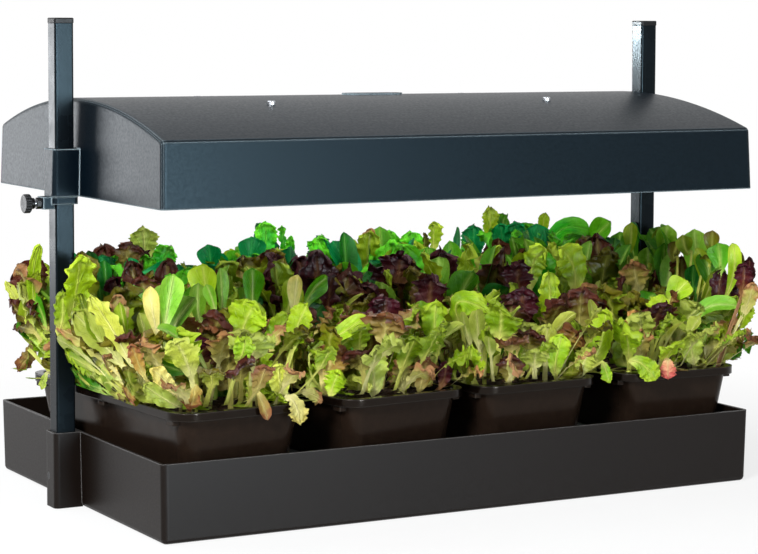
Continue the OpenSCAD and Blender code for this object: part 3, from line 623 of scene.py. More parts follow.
def blade(rng, kind, t, stalk, spine, side, face, width, colours, shade=1.0):
    """The surface of a leaf round its midrib: where its points are, and their tints."""
    _, columns, rise, roundness, cup, ruffle, waves, teeth, tooth, lobes, blister = KINDS[kind]
    s = np.linspace(-1, 1, columns)
    s = np.sign(s) * np.abs(s) ** 0.85
    u = np.clip((t - stalk) / (1 - stalk), 0, 1)
    outline = u**rise * np.sqrt(np.clip(1 - u**roundness, 0, 1))
    outline = outline / outline.max()
    stem = 1.1 + (0.042 if kind == "spoon" else 0.062) * width
    phase = rng.uniform(0, 2 * np.pi, 10)
    lobe = 1 + lobes * np.sin(2 * np.pi * 3.2 * u + phase[6]) * u
    half = np.sqrt((0.5 * width * outline * lobe) ** 2 + (stem * (1 - u**3) * (1 - 0.35 * t)) ** 2)
    S, U = np.meshgrid(s, u)
    T = np.repeat(t[:, None], columns, 1)
    H = np.repeat(half[:, None], columns, 1)
    B = np.repeat(outline[:, None], columns, 1)
    edge = np.abs(S) ** 2.2
    drift = 0.5 * np.sin(3.0 * U + phase[7])
    left_wave = np.sin(2 * np.pi * (waves * U + drift) + phase[0])
    right_wave = np.sin(2 * np.pi * (waves * 1.08 * U + drift) + phase[1])
    wave = np.where(S < 0, left_wave, right_wave)
    finer = np.sin(2 * np.pi * 2.3 * waves * U + phase[8] + S)
    crest = np.sin(2 * np.pi * 1.9 * S + phase[2])
    big = 0.5 * width
    lift = cup * S**2 * H
    lift = lift + ruffle * big * B**0.5 * edge * (wave + 0.35 * finer) * U**0.4
    lift = lift + ruffle * big * 0.8 * crest * U**6
    bumps = np.sin(2 * np.pi * (2.8 * U + 1.4 * S) + phase[3])
    bumps = bumps * np.sin(2 * np.pi * (2.1 * S - 1.8 * U) + phase[4])
    lift = lift + blister * big * B * (bumps + 0.25 * rng.normal(0, 1, S.shape))
    reach = S * H * (1 + teeth * np.abs(S) ** 3 * frayed(tooth * U + phase[5]) * (U > 0))
    forward = teeth * big * 1.2 * U**9 * frayed(0.5 * tooth * S + phase[9])
    forward = forward + ruffle * big * 0.5 * U**5 * np.sin(2 * np.pi * 2.4 * S + phase[5])
    forward = forward - 0.16 * big * U**4 * S**2
    points = spine[:, None, :] + side[:, None, :] * reach[..., None]
    points = points + face[:, None, :] * lift[..., None]
    points = points + unit(np.gradient(spine, axis=0))[:, None, :] * forward[..., None]
    body, tip, share, stalk_tint = colours
    # shade darkens the whole leaf's tint as painted shade; the factor beside it is a random tone
    level = shade * (1 + 0.11 * rng.normal())
    hue = rng.normal(0, 0.06)
    body = body * level * np.array([1 + hue, 1.0, 1 - hue])
    tip = tip * level
    tint = mix(stalk_tint, body, ramp(U + 0.15 * np.abs(S), 0.02, 0.5))
    burn = ramp(U + 0.30 * edge + 0.10 * wave, 1.0 - 0.75 * share, 1.30 - 0.55 * share)
    tint = mix(tint, np.broadcast_to(tip, tint.shape), burn * min(1.0, share * 1.4))
    rib = ramp(0.19 - np.abs(S), 0.0, 0.17) * (1 - 0.7 * U)
    rib = rib * (0.9 if kind == "spoon" else 0.7)
    tint = mix(tint, np.broadcast_to(stalk_tint, tint.shape), rib)
    return points, T, S, tint


def grown_leaf(
    rng, kind, root, azimuth, lean, length, width, bend, colours, stalk, twist, sway, shade=1.0
):
    """A leaf that leans and bends away from its root."""
    t = steps_of(kind, stalk)
    tilt = lean + bend * t**1.9
    turn = azimuth + sway * t**2
    heading = np.stack([np.sin(tilt) * np.cos(turn), np.sin(tilt) * np.sin(turn), np.cos(tilt)], 1)
    middle = (heading[1:] + heading[:-1]) / 2 * (np.diff(t) * length)[:, None]
    spine = np.concatenate([[np.zeros(3)], np.cumsum(middle, axis=0)]) + np.asarray(root)
    flat = np.stack([-np.sin(turn), np.cos(turn), np.zeros(len(t))], 1)
    face = np.cross(heading, flat)
    roll = (twist * t)[:, None]
    side = flat * np.cos(roll) + face * np.sin(roll)
    face = np.cross(heading, side)
    return blade(rng, kind, t, stalk, spine, side, face, width, colours, shade)


def bent(a, b, c, n):
    """Points along a curve from a to c that passes through b."""
    k = np.linspace(0, 1, n)[:, None]
    handle = 2 * b - (a + c) / 2
    return (1 - k) ** 2 * a + 2 * k * (1 - k) * handle + k**2 * c


def placed_leaf(rng, kind, width, root, base, middle, tip, colours, shade=1.0):
    """A leaf that goes from its root through three places, turned towards the front."""
    root = np.array([*root, SOIL - 2.0])
    base, middle, tip = (np.array(p, float) for p in (base, middle, tip))
    upward = base + 0.35 * (base - middle)
    knee = 0.5 * (root + upward) * np.array([1, 1, 0]) + np.array([0, 0, 0.5 * (root[2] + base[2])])
    foot = bent(root, knee, base, 24)
    leaf = bent(base, middle, tip, 40)
    path = np.concatenate([foot, leaf[1:]])
    reach = np.concatenate([[0], np.cumsum(np.linalg.norm(np.diff(path, axis=0), axis=1))])
    stalk = float(np.clip(reach[23] / reach[-1], 0.05, 0.8))
    t = steps_of(kind, stalk)
    spine = np.stack([np.interp(t * reach[-1], reach, path[:, k]) for k in range(3)], 1)
    heading = unit(np.gradient(spine, axis=0))
    towards = np.array([-0.45, -0.84, 0.3]) + rng.normal(0, 0.25, 3)
    side = unit(np.cross(heading, towards))
    face = np.cross(side, heading)
    roll = (rng.normal(0, 0.25) + rng.normal(0, 0.5) * (t - stalk))[:, None]
    turned = side * np.cos(roll) + face * np.sin(roll)
    face = np.cross(turned, heading)
    return blade(rng, kind, t, stalk, spine, turned, face, width, colours, shade)


def on_tray(bed, a, b):
    """Where a place on a tray lies in the garden: a across the tray and b along it."""
    cx, cy, turn = TRAY_PLACES[bed]
    ca, sa = math.cos(math.radians(turn)), math.sin(math.radians(turn))
    return cx + a * ca - b * sa, cy + a * sa + b * ca


def scatter(rng, bed, count, inset=0.0):
    """Places over the tray's soil, spread evenly in a jittered grid."""
    half_w, half_l = HALF_W - inset, HALF_L - inset
    columns = max(3, int(round(math.sqrt(count * half_w / half_l))))
    rows = int(math.ceil(count / columns))
    places = []
    for row in range(rows):
        for column in range(columns):
            a = ((column + rng.uniform(0.1, 0.9)) / columns * 2 - 1) * half_w
            b = ((row + rng.uniform(0.1, 0.9)) / rows * 2 - 1) * half_l
            places.append((a, b))
    rng.shuffle(places)
    return [(a, b, *on_tray(bed, a, b)) for a, b in places]


def outward(rng, a, b, bed):
    """The way a leaf leans, and how near the tray's edge it stands."""
    ea, eb = a / HALF_W, b / HALF_L
    at_end = (bed, ea > 0) in ((0, False), (3, True))
    pull_x = np.sign(ea) * abs(ea) ** 2 * (1.3 if at_end else 0.7)
    pull_y = np.sign(eb) * abs(eb) ** 4
    if b > 0:
        pull_y += 0.5 * eb
    azimuth = math.atan2(pull_y + rng.normal(0, 0.3), pull_x + rng.normal(0, 0.3))
    return azimuth, max(abs(ea) ** 2 * 0.75, abs(eb) ** 6)


def choose(rng, table):
    """One of a table's keys, each as likely as its value says."""
    names = list(table)
    weights = np.array([table[n] for n in names], float)
    return names[int(rng.choice(len(names), p=weights / weights.sum()))]


def canopy_mix(x, y):
    """How common each kind and palette is among the tall leaves at a place in the garden."""
    wine = math.exp(-(((x - 20) / 110) ** 2) - ((y + 20) / 90) ** 2)
    back = float(np.clip((y + 10) / 90, 0, 1))
    right = float(np.clip((x - 170) / 80, 0, 1))
    left = float(np.clip((-x - 290) / 30, 0, 1))
    return {
        ("frill", "lime"): 2.4 * (1 - 0.8 * back),
        ("frill", "vivid"): 4.0 * back * (1 - left),
        ("spoon", "teal"): 2.0 * back * (1 - left),
        ("spoon", "deep"): (0.5 + 0.4 * back) * (1 - left),
        ("spoon", "green"): 0.8 + 2.4 * right,
        ("spoon", "mint"): (0.6 + 1.6 * right) * (1 - back),
        ("frill", "pale"): 0.6 * (1 - back) + 2.0 * left,
        ("curly", "lime"): 1.2 * (1 - back),
        ("oak", "olive"): 1.0 * (1 - 0.7 * back),
        ("oak", "bronze"): 1.4 * (1 - 0.8 * back) + 0.5 * left,
        ("oak", "blush"): 1.2 * left,
        ("oak", "wine"): 0.2 * (1 - back) * (1 - left) + 4.0 * wine,
    }


LOW_MIX = {
    ("curly", "lime"): 1.6, ("curly", "pale"): 0.6, ("frill", "pale"): 1.4, ("frill", "lime"): 3.0,
    ("oak", "blush"): 0.9, ("oak", "bronze"): 1.4, ("oak", "olive"): 1.4, ("oak", "rust"): 0.9,
    ("strap", "pale"): 1.8, ("oak", "wine"): 0.5,
}
DROOP_MIX = {
    ("frill", "lime"): 2.0, ("frill", "pale"): 1.0, ("oak", "blush"): 1.0, ("oak", "rust"): 0.7,
}
WIDTHS = {"spoon": 34, "frill": 44, "oak": 42, "curly": 30, "strap": 18}

# How many places for tall and short leaves each tray has, and how many leaves hang over its rim
TALL_COUNT, SHORT_COUNT, HANGING_COUNT = 170, 105, 9
# The y in front of which no tall leaves grow, and how low a picked leaf may reach
TALL_FRONT, PICKED_LOW = -25.0, 92.0

# Leaves that give the garden its outline and its bright spots, given one by one from the picture:
# kind, palette, width and how far across the root shows, in pixels; start, middle and tip of the
# blade, in pixels across and down; and the root's, the start's and the tip's y, in mm
PICKED = (
    ("frill", "lime", 15, 46, (44, 330), (33, 290), (40, 245), (40, 60, 60)),
    ("curly", "pale", 13, 40, (38, 345), (26, 318), (6, 282), (30, 50, 60)),
    ("oak", "bronze", 20, 48, (46, 300), (38, 278), (42, 262), (80, 90, 90)),
    ("spoon", "green", 17, 48, (47, 330), (40, 310), (31, 296), (10, 25, 25)),
    ("oak", "bronze", 15, 47, (48, 330), (40, 318), (31, 306), (0, 10, 5)),
    ("curly", "pale", 22, 46, (47, 350), (38, 335), (30, 314), (-30, -20, -30)),
    ("oak", "rust", 17, 40, (34, 338), (30, 352), (18, 371), (10, 20, 15)),
    ("frill", "pale", 9, 50, (48, 372), (44, 380), (42, 389), (-10, -5, -12)),
    ("frill", "lime", 41, 80, (72, 318), (76, 292), (80, 256), (-60, -70, -80)),
    ("oak", "bronze", 30, 128, (128, 268), (128, 256), (130, 243), (60, 70, 70)),
    ("frill", "pale", 30, 146, (145, 262), (144, 246), (143, 228), (110, 120, 120)),
    ("frill", "vivid", 26, 158, (160, 276), (163, 262), (170, 246), (60, 70, 70)),
    ("spoon", "deep", 19, 112, (108, 300), (106, 282), (104, 260), (20, 25, 25)),
    ("spoon", "teal", 17, 130, (131, 290), (131, 274), (130, 257), (60, 65, 65)),
    ("spoon", "teal", 15, 135, (140, 274), (155, 270), (172, 266), (40, 40, 35)),
    ("oak", "bronze", 34, 150, (148, 318), (146, 300), (140, 276), (-10, 0, 0)),
    ("oak", "blush", 19, 130, (124, 340), (120, 318), (116, 295), (-60, -65, -70)),
    ("frill", "pale", 27, 157, (130, 362), (112, 330), (90, 297), (-150, -165, -175)),
    ("oak", "blush", 22, 150, (112, 368), (88, 345), (58, 328), (-140, -150, -150)),
    ("curly", "lime", 26, 110, (95, 384), (84, 368), (68, 348), (-90, -95, -95)),
    ("curly", "lime", 24, 120, (98, 385), (88, 372), (72, 366), (-120, -120, -120)),
    ("frill", "cream", 17, 135, (132, 376), (120, 368), (106, 366), (-135, -150, -155)),
    ("oak", "rust", 24, 125, (128, 384), (128, 390), (118, 400), (-140, -160, -165)),
    ("oak", "rust", 16, 167, (145, 378), (138, 362), (132, 344), (-165, -180, -185)),
    ("frill", "cream", 18, 180, (178, 394), (168, 384), (151, 369), (-170, -195, -205)),
    ("oak", "rust", 27, 188, (194, 384), (194, 394), (190, 409), (-175, -200, -212)),
    ("spoon", "cream", 18, 165, (160, 342), (153, 315), (150, 286), (-130, -140, -145)),
    ("spoon", "mint", 26, 168, (164, 334), (168, 306), (174, 274), (-140, -150, -150)),
    ("spoon", "mint", 20, 210, (205, 366), (186, 342), (157, 328), (-160, -175, -190)),
    ("spoon", "lime", 13, 196, (194, 364), (180, 360), (162, 358), (-165, -180, -190)),
    ("spoon", "lime", 33, 212, (212, 306), (206, 288), (203, 263), (-40, -45, -45)),
    ("spoon", "mint", 17, 222, (222, 322), (222, 294), (220, 267), (-60, -70, -70)),
    ("spoon", "mint", 14, 214, (216, 316), (212, 300), (206, 284), (-70, -80, -80)),
    ("spoon", "green", 28, 252, (252, 312), (252, 292), (252, 268), (-30, -35, -35)),
    ("frill", "olive", 26, 262, (264, 294), (270, 272), (284, 254), (20, 20, 20)),
    ("frill", "lime", 42, 244, (243, 340), (245, 322), (256, 303), (-120, -130, -140)),
    ("spoon", "cream", 17, 294, (294, 318), (295, 296), (298, 274), (-60, -65, -65)),
    ("spoon", "green", 24, 302, (304, 312), (312, 292), (328, 277), (-50, -50, -50)),
    ("spoon", "green", 20, 318, (318, 312), (322, 294), (326, 280), (-20, -20, -20)),
    ("spoon", "lime", 19, 292, (304, 356), (334, 338), (368, 316), (-165, -175, -175)),
    ("frill", "lime", 26, 290, (292, 350), (298, 326), (312, 305), (-170, -180, -185)),
    ("oak", "rust", 34, 322, (322, 384), (330, 366), (334, 344), (-165, -180, -185)),
    ("oak", "bronze", 30, 230, (230, 376), (228, 356), (232, 340), (-160, -170, -175)),
    ("oak", "blush", 28, 268, (262, 362), (270, 344), (286, 328), (-150, -165, -170)),
    ("curly", "lime", 30, 262, (262, 392), (262, 374), (258, 352), (-175, -185, -190)),
    ("curly", "olive", 24, 250, (250, 388), (250, 372), (246, 356), (-180, -188, -195)),
    ("frill", "pale", 26, 286, (284, 398), (280, 384), (278, 364), (-180, -200, -208)),
    ("strap", "rust", 13, 258, (258, 392), (262, 404), (268, 420), (-175, -208, -216)),
    ("frill", "cream", 24, 284, (284, 398), (294, 402), (300, 423), (-170, -206, -214)),
    ("oak", "blush", 17, 300, (302, 392), (312, 394), (326, 400), (-150, -190, -200)),
    ("frill", "pale", 30, 372, (374, 396), (374, 376), (372, 352), (-160, -180, -188)),
    ("frill", "vivid", 24, 262, (264, 262), (266, 242), (266, 222), (150, 160, 160)),
    ("frill", "vivid", 14, 282, (283, 260), (283, 244), (282, 226), (150, 160, 160)),
    ("spoon", "teal", 26, 210, (212, 275), (210, 256), (208, 244), (110, 115, 115)),
    ("spoon", "teal", 30, 244, (246, 270), (250, 254), (252, 236), (120, 130, 130)),
    ("frill", "vivid", 18, 296, (296, 268), (294, 252), (292, 236), (140, 150, 150)),
    ("frill", "vivid", 30, 318, (316, 270), (318, 254), (322, 236), (150, 155, 155)),
    ("frill", "vivid", 26, 346, (346, 270), (347, 256), (348, 243), (150, 160, 160)),
    ("frill", "lime", 26, 368, (366, 282), (368, 258), (370, 232), (110, 120, 120)),
    ("oak", "blush", 14, 370, (370, 240), (370, 235), (372, 229), (130, 135, 135)),
    ("frill", "vivid", 22, 390, (390, 270), (390, 250), (390, 231), (140, 150, 150)),
    ("frill", "vivid", 24, 412, (412, 270), (412, 252), (410, 232), (150, 160, 160)),
    ("frill", "lime", 20, 433, (433, 252), (433, 238), (433, 222), (165, 175, 175)),
    ("spoon", "teal", 20, 452, (452, 262), (448, 240), (440, 228), (130, 135, 130)),
    ("strap", "green", 22, 452, (452, 298), (452, 270), (450, 240), (60, 70, 75)),
    ("frill", "teal", 25, 474, (474, 262), (474, 244), (474, 226), (140, 150, 150)),
    ("frill", "lime", 18, 490, (490, 245), (490, 226), (490, 207), (160, 170, 170)),
    ("frill", "teal", 20, 500, (500, 258), (502, 240), (500, 224), (140, 150, 150)),
    ("frill", "teal", 22, 518, (518, 258), (516, 240), (514, 222), (130, 140, 140)),
    ("frill", "lime", 11, 543, (543, 238), (543, 226), (545, 212), (165, 172, 172)),
    ("spoon", "vivid", 20, 548, (547, 268), (558, 228), (590, 228), (90, 95, 95)),
    ("spoon", "green", 24, 588, (586, 246), (594, 236), (611, 219), (110, 110, 110)),
    ("spoon", "green", 24, 618, (620, 276), (620, 256), (620, 231), (40, 50, 50)),
    ("spoon", "mint", 16, 616, (616, 284), (614, 264), (622, 241), (10, 20, 20)),
    ("spoon", "deep", 18, 640, (642, 236), (646, 224), (640, 209), (140, 150, 150)),
    ("spoon", "green", 22, 670, (672, 262), (670, 236), (662, 209), (70, 80, 80)),
    ("spoon", "mint", 20, 664, (662, 254), (664, 236), (668, 215), (50, 60, 60)),
    ("spoon", "mint", 26, 696, (698, 290), (697, 262), (694, 229), (-40, -35, -35)),
    ("spoon", "olive", 15, 712, (712, 248), (712, 238), (713, 226), (60, 65, 65)),
    ("spoon", "green", 22, 720, (720, 276), (720, 260), (718, 243), (0, 5, 5)),
    ("spoon", "lime", 13, 724, (724, 300), (734, 270), (732, 243), (-80, -80, -80)),
    ("spoon", "mint", 22, 648, (648, 280), (648, 264), (648, 247), (-30, -20, -20)),
    ("spoon", "lime", 26, 668, (666, 306), (676, 292), (688, 281), (-130, -135, -140)),
    ("spoon", "mint", 16, 700, (702, 296), (712, 280), (722, 266), (-100, -100, -100)),
    ("oak", "bronze", 24, 684, (684, 286), (682, 272), (682, 257), (-20, -15, -15)),
    ("oak", "blush", 28, 640, (640, 292), (636, 278), (634, 262), (-60, -60, -60)),
    ("oak", "wine", 18, 742, (742, 296), (744, 280), (744, 264), (-60, -60, -60)),
    ("frill", "blush", 15, 742, (742, 316), (748, 302), (754, 283), (-90, -90, -90)),
    ("strap", "mint", 16, 690, (692, 322), (710, 306), (738, 306), (-140, -150, -150)),
    ("strap", "pale", 17, 700, (698, 338), (682, 330), (664, 318), (-160, -170, -175)),
    ("oak", "blush", 34, 706, (708, 362), (720, 344), (736, 326), (-150, -165, -165)),
    ("frill", "tan", 28, 636, (634, 340), (634, 326), (634, 311), (-140, -150, -155)),
    ("oak", "blush", 22, 640, (640, 362), (640, 346), (642, 329), (-165, -175, -180)),
    ("frill", "lime", 34, 575, (588, 366), (602, 342), (612, 309), (-150, -175, -180)),
    ("oak", "bronze", 34, 580, (580, 330), (580, 310), (582, 289), (-100, -105, -110)),
    ("frill", "lime", 30, 574, (574, 292), (574, 268), (561, 247), (-40, -40, -45)),
    ("frill", "lime", 26, 534, (530, 290), (534, 262), (546, 252), (-30, -30, -40)),
    ("frill", "lime", 24, 548, (548, 336), (550, 304), (548, 273), (-110, -115, -120)),
    ("oak", "wine", 34, 520, (520, 300), (518, 282), (520, 262), (-60, -60, -60)),
    ("oak", "wine", 34, 520, (520, 330), (520, 314), (524, 290), (-110, -115, -120)),
    ("frill", "lime", 24, 467, (462, 330), (458, 302), (488, 312), (-120, -130, -150)),
    ("curly", "lime", 20, 484, (488, 312), (494, 322), (500, 336), (-140, -150, -155)),
    ("frill", "lime", 24, 494, (490, 292), (498, 266), (502, 246), (20, 20, 20)),
    ("oak", "wine", 40, 400, (400, 286), (400, 270), (404, 255), (-10, -10, -10)),
    ("oak", "wine", 36, 428, (428, 316), (430, 298), (432, 276), (-80, -85, -85)),
    ("oak", "wine", 34, 392, (390, 340), (386, 320), (384, 296), (-120, -125, -125)),
    ("curly", "lime", 26, 434, (434, 354), (434, 330), (436, 302), (-140, -150, -150)),
    ("curly", "lime", 28, 404, (404, 372), (402, 350), (400, 330), (-150, -160, -160)),
    ("oak", "blush", 26, 404, (404, 392), (402, 376), (404, 358), (-165, -180, -185)),
    ("oak", "rust", 24, 420, (420, 392), (422, 378), (428, 358), (-165, -180, -190)),
    ("oak", "wine", 16, 440, (440, 388), (444, 376), (446, 362), (-165, -185, -190)),
    ("frill", "cream", 20, 510, (510, 366), (512, 348), (506, 332), (-160, -170, -175)),
    ("oak", "bronze", 26, 508, (508, 382), (510, 370), (512, 356), (-170, -190, -196)),
    ("frill", "pale", 26, 545, (545, 366), (546, 346), (548, 324), (-150, -165, -168)),
    ("frill", "lime", 22, 558, (556, 376), (556, 360), (562, 334), (-170, -180, -184)),
    ("frill", "lime", 14, 598, (602, 362), (606, 370), (610, 382), (-165, -205, -212)),
    ("frill", "lime", 20, 634, (628, 362), (642, 364), (655, 380), (-170, -204, -214)),
    ("oak", "pink", 15, 672, (668, 358), (668, 366), (668, 379), (-170, -204, -214)),
    ("curly", "pale", 14, 716, (718, 366), (724, 356), (734, 346), (-160, -170, -170)),
    ("curly", "green", 9, 738, (738, 342), (744, 336), (752, 333), (-120, -125, -125)),
    ("spoon", "mint", 20, 590, (590, 300), (586, 286), (580, 262), (-10, -10, -10)),
    ("frill", "lime", 22, 654, (652, 330), (656, 314), (664, 296), (-150, -155, -158)),
    ("oak", "olive", 30, 726, (724, 316), (720, 298), (706, 286), (-120, -125, -125)),
    ("curly", "lime", 28, 470, (470, 380), (466, 364), (466, 346), (-170, -185, -190)),
    ("curly", "pale", 22, 578, (580, 376), (584, 362), (590, 350), (-170, -188, -194)),
    ("curly", "pale", 26, 694, (694, 364), (692, 350), (690, 334), (-165, -180, -186)),
    ("curly", "lime", 24, 330, (330, 396), (334, 382), (340, 372), (-165, -185, -190)),
)
# How far along X a picked point may lie, and along Y where it is moved to keep to that
PICK_REACH, PICK_FRONT, PICK_BACK, PICK_STEP = 356.0, -222.0, 185.0, 2.0
# How near along Y it may be moved to the left post, and how far in a picked root stands
PICK_CLEAR, PICK_INSET = 18.0, 1.0


def camera_axes():
    """The camera's right, up and backward directions, as the columns of a matrix."""
    axes = np.eye(3)
    for axis, angle in enumerate(CAMERA_TURN):
        a, b = (axis + 1) % 3, (axis + 2) % 3
        turn = np.eye(3)
        turn[a, a] = turn[b, b] = math.cos(angle)
        turn[b, a] = math.sin(angle)
        turn[a, b] = -math.sin(angle)
        axes = turn @ axes
    return axes


AXES = camera_axes()
EYE = np.array(CAMERA_PLACE) / MM
FOCAL = LENS / SENSOR * PICTURE[0]


def seen_at(across, down, y):
    """The x and z of what a point of the picture shows on the upright plane at y."""
    right = (across - PICTURE[0] / 2) / FOCAL
    up = (PICTURE[1] / 2 + SHIFT * PICTURE[0] - down) / FOCAL
    ray = AXES @ np.array([right, up, -1.0])
    x, _, z = EYE + (y - EYE[1]) / ray[1] * ray
    return x, z


def spot(across, down, y):
    """A picked point at depth y, moved back or forward along its line of sight until it lies
    within reach, and by how much."""
    x, z = seen_at(across, down, y)
    moved = 0.0
    while x < -PICK_REACH and y < PICK_BACK:
        moved += PICK_STEP
        y += PICK_STEP
        x, z = seen_at(across, down, y)
    if moved and abs(y) < PICK_CLEAR:
        y = -PICK_CLEAR
        x, z = seen_at(across, down, y)
    while x > PICK_REACH and y > PICK_FRONT:
        moved -= PICK_STEP
        y -= PICK_STEP
        x, z = seen_at(across, down, y)
    return (x, y, z), moved


def rooted(bed, across, y):
    """Where on a tray's soil a root at depth y shows so far across the picture."""
    facing = FOCAL * AXES[:, 0] + (across - PICTURE[0] / 2) * AXES[:, 2]
    x = EYE[0] - ((y - EYE[1]) * facing[1] + (round(SOIL) - EYE[2]) * facing[2]) / facing[0]
    cx, cy, turn = TRAY_PLACES[bed]
    ca, sa = math.cos(math.radians(turn)), math.sin(math.radians(turn))
    half_w, half_l = HALF_W - PICK_INSET, HALF_L - PICK_INSET
    a = np.clip((x - cx) * ca + (y - cy) * sa, -half_w, half_w)
    b = np.clip((y - cy) * ca - (x - cx) * sa, -half_l, half_l)
    return on_tray(bed, a, b)


def placed_in(bed):
    """The picked leaves nearest a tray: kind, palette, width, root, start, middle and tip, in
    whole mm."""
    for kind, colour, width, root, start, middle, tip, depths in PICKED:
        root_y, start_y, tip_y = depths
        base, moved = spot(*start, start_y)
        if bed != min(range(4), key=lambda tray: abs(base[0] - TRAY_PLACES[tray][0])):
            continue
        end, _ = spot(*tip, tip_y)
        halfway, _ = spot(*middle, (base[1] + end[1]) / 2)
        foot = rooted(bed, root, root_y + moved)
        level = PICTURE[1] / 2
        one_on = seen_at(start[0] + 1, level, base[1])[0] - seen_at(start[0], level, base[1])[0]
        places = (tuple(round(float(v)) for v in place) for place in (foot, base, halfway, end))
        yield kind, colour, round(width * one_on * math.cos(YAW)), *places


class Bed:
    """The plants of one tray, gathered by the look of their leaves."""

    def __init__(self, bed):
        self.bed = bed
        self.rng = np.random.default_rng(4021 + bed)
        self.groups = {"crisp": Patchwork(), "smooth": Patchwork(), "bronze": Patchwork()}

    def keep(self, kind, colour, leaf, low):
        """Adds a leaf to the mesh of its look, kept inside the bed's limits and above low."""
        points, along, across, tint = leaf
        group = "bronze" if colour in WARM else ("smooth" if kind == "spoon" else "crisp")
        self.groups[group].add(keep_in(points, self.bed, low), along, across, tint)

    def grow(
        self, kind, colour, x, y, azimuth, lean, length, width, bend, stalk, low=RIM + 1, shade=1.0
    ):
        """A leaf from a place on the soil, with a little twist and sway of its own."""
        leaf = grown_leaf(
            self.rng, kind, (x, y, SOIL - 2), azimuth, lean, length, width, bend, PALETTES[colour],
            stalk, self.rng.normal(0, 0.5), self.rng.normal(0, 0.3), shade,
        )
        self.keep(kind, colour, leaf, low)

    def canopy(self):
        """Tall leaves, behind those that are placed one by one."""
        rng = self.rng
        for a, b, x, y in scatter(rng, self.bed, TALL_COUNT):
            if y < TALL_FRONT or (self.bed == 0 and a < -25 and y < 60):
                continue
            kind, colour = choose(rng, canopy_mix(x, y))
            azimuth, edge = outward(rng, a, b, self.bed)
            back = float(np.clip((y - 40) / 80, 0, 1))
            spread = 30 * edge * rng.uniform(0.4, 1.0) * (1 - 0.4 * back)
            lean = math.radians(rng.uniform(3, 14) + spread)
            length = rng.uniform(98, 138) * (1 + 0.18 * back)
            width = WIDTHS[kind] * rng.uniform(0.75, 1.2)
            bend = rng.uniform(-0.1, 0.7 - 0.3 * back) + 0.25 * edge
            # painted shade: tall leaves short of the back rows are drawn darker, down to 0.66 of
            # their palette
            self.grow(
                kind, colour, x, y, azimuth, lean, length, width, bend,
                rng.uniform(0.32, 0.45), shade=0.66 + 0.34 * back,
            )

    def stalks(self):
        """Shorter leaves on pale stalks."""
        rng = self.rng
        for a, b, x, y in scatter(rng, self.bed, SHORT_COUNT):
            kind, colour = choose(rng, LOW_MIX)
            azimuth, edge = outward(rng, a, b, self.bed)
            lean = math.radians(rng.uniform(3, 18) + 32 * edge * rng.uniform(0.4, 1.1))
            length = rng.uniform(60, 100) if y < TALL_FRONT else rng.uniform(70, 122)
            width = 0.95 * WIDTHS[kind] * rng.uniform(0.6, 1.15)
            # painted shade: short leaves are drawn darker, most in the middle of the garden and
            # less towards its ends
            self.grow(
                kind, colour, x, y, azimuth, lean, length, width, rng.uniform(0.0, 0.9),
                rng.uniform(0.45, 0.66), shade=0.6 + 0.22 * (x / 300) ** 2,
            )

    def droops(self):
        """A few leaves that hang over the rim."""
        rng = self.rng
        for k in range(HANGING_COUNT):
            angle = 2 * math.pi * (k + rng.uniform(0.1, 0.9)) / HANGING_COUNT
            a = HALF_W * float(np.clip(1.35 * math.cos(angle), -1, 1))
            b = HALF_L * float(np.clip(1.35 * math.sin(angle), -1, 1))
            kind, colour = choose(rng, DROOP_MIX)
            sideways = 1 if abs(b) > 130 else 0.35
            azimuth = math.atan2(math.sin(angle) * sideways, math.cos(angle))
            self.grow(
                kind, colour, *on_tray(self.bed, a, b), azimuth + rng.normal(0, 0.35),
                rng.uniform(0.4, 0.8), rng.uniform(50, 84), rng.uniform(20, 32),
                rng.uniform(0.4, 1.5), 0.4, RIM - rng.uniform(0, 12),
            )

    def placed(self):
        """The picked leaves, each with neighbours a little behind and below it, drawn darker as
        painted shade.
        """
        rng = self.rng
        for kind, colour, width, root, base, middle, tip in placed_in(self.bed):
            leaf = placed_leaf(rng, kind, width, root, base, middle, tip, PALETTES[colour])
            self.keep(kind, colour, leaf, PICKED_LOW)
            for turn in range(3 if tip[1] < 0 else 1):
                beside = choose(rng, dict.fromkeys(NEIGHBOURS[colour], 1))
                step = np.array([rng.uniform(-14, 22), 14 + 16 * turn, rng.uniform(-34, -8)])
                near = np.array(root) + 0.5 * step[:2]
                low = np.array(base) + step * [1, 1, 0.5]
                # the neighbours' tint is painted shade: 0.66 of their palette
                leaf = placed_leaf(
                    rng, kind, max(18, width * rng.uniform(0.8, 1.2)),
                    near, low, np.array(middle) + step + rng.normal(0, 4, 3),
                    np.array(tip) + step + rng.normal(0, 6, 3), PALETTES[beside], 0.66,
                )
                self.keep(kind, beside, leaf, RIM + 1)

    def build(self):
        """The meshes, which ride with the tray and stand for its plants."""
        materials = {"crisp": CRISP, "smooth": SMOOTH, "bronze": BRONZE}
        for name, group in self.groups.items():
            piece = group.build(f"{name}_leaves_{self.bed + 1}", materials[name])
            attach(piece, f"tray_{self.bed + 1}")
            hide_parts(f"plants_{self.bed + 1}")


for number in range(4):
    bed = Bed(number)
    bed.canopy()
    bed.stalks()
    bed.droops()
    bed.placed()
    bed.build()

# ---------------------------------------------------------------- felt mat


# The mat: half its length, its front and rear edges, and the heights of its two sides
MAT_HALF, MAT_FRONT, MAT_REAR, MAT_TOP, MAT_UNDER = 305.5, -188.5, 156.0, 52.3, 50.1
# Its tails: where they hang along X and Y, half their width and thickness, and their lower ends
TAIL_XS, TAIL_YS = (-180.0, 0.0, 180.0), (-183.5, 151.0)
TAIL_HALF_W, TAIL_HALF_T, TAIL_END = 39.5, 1.0, 9.2


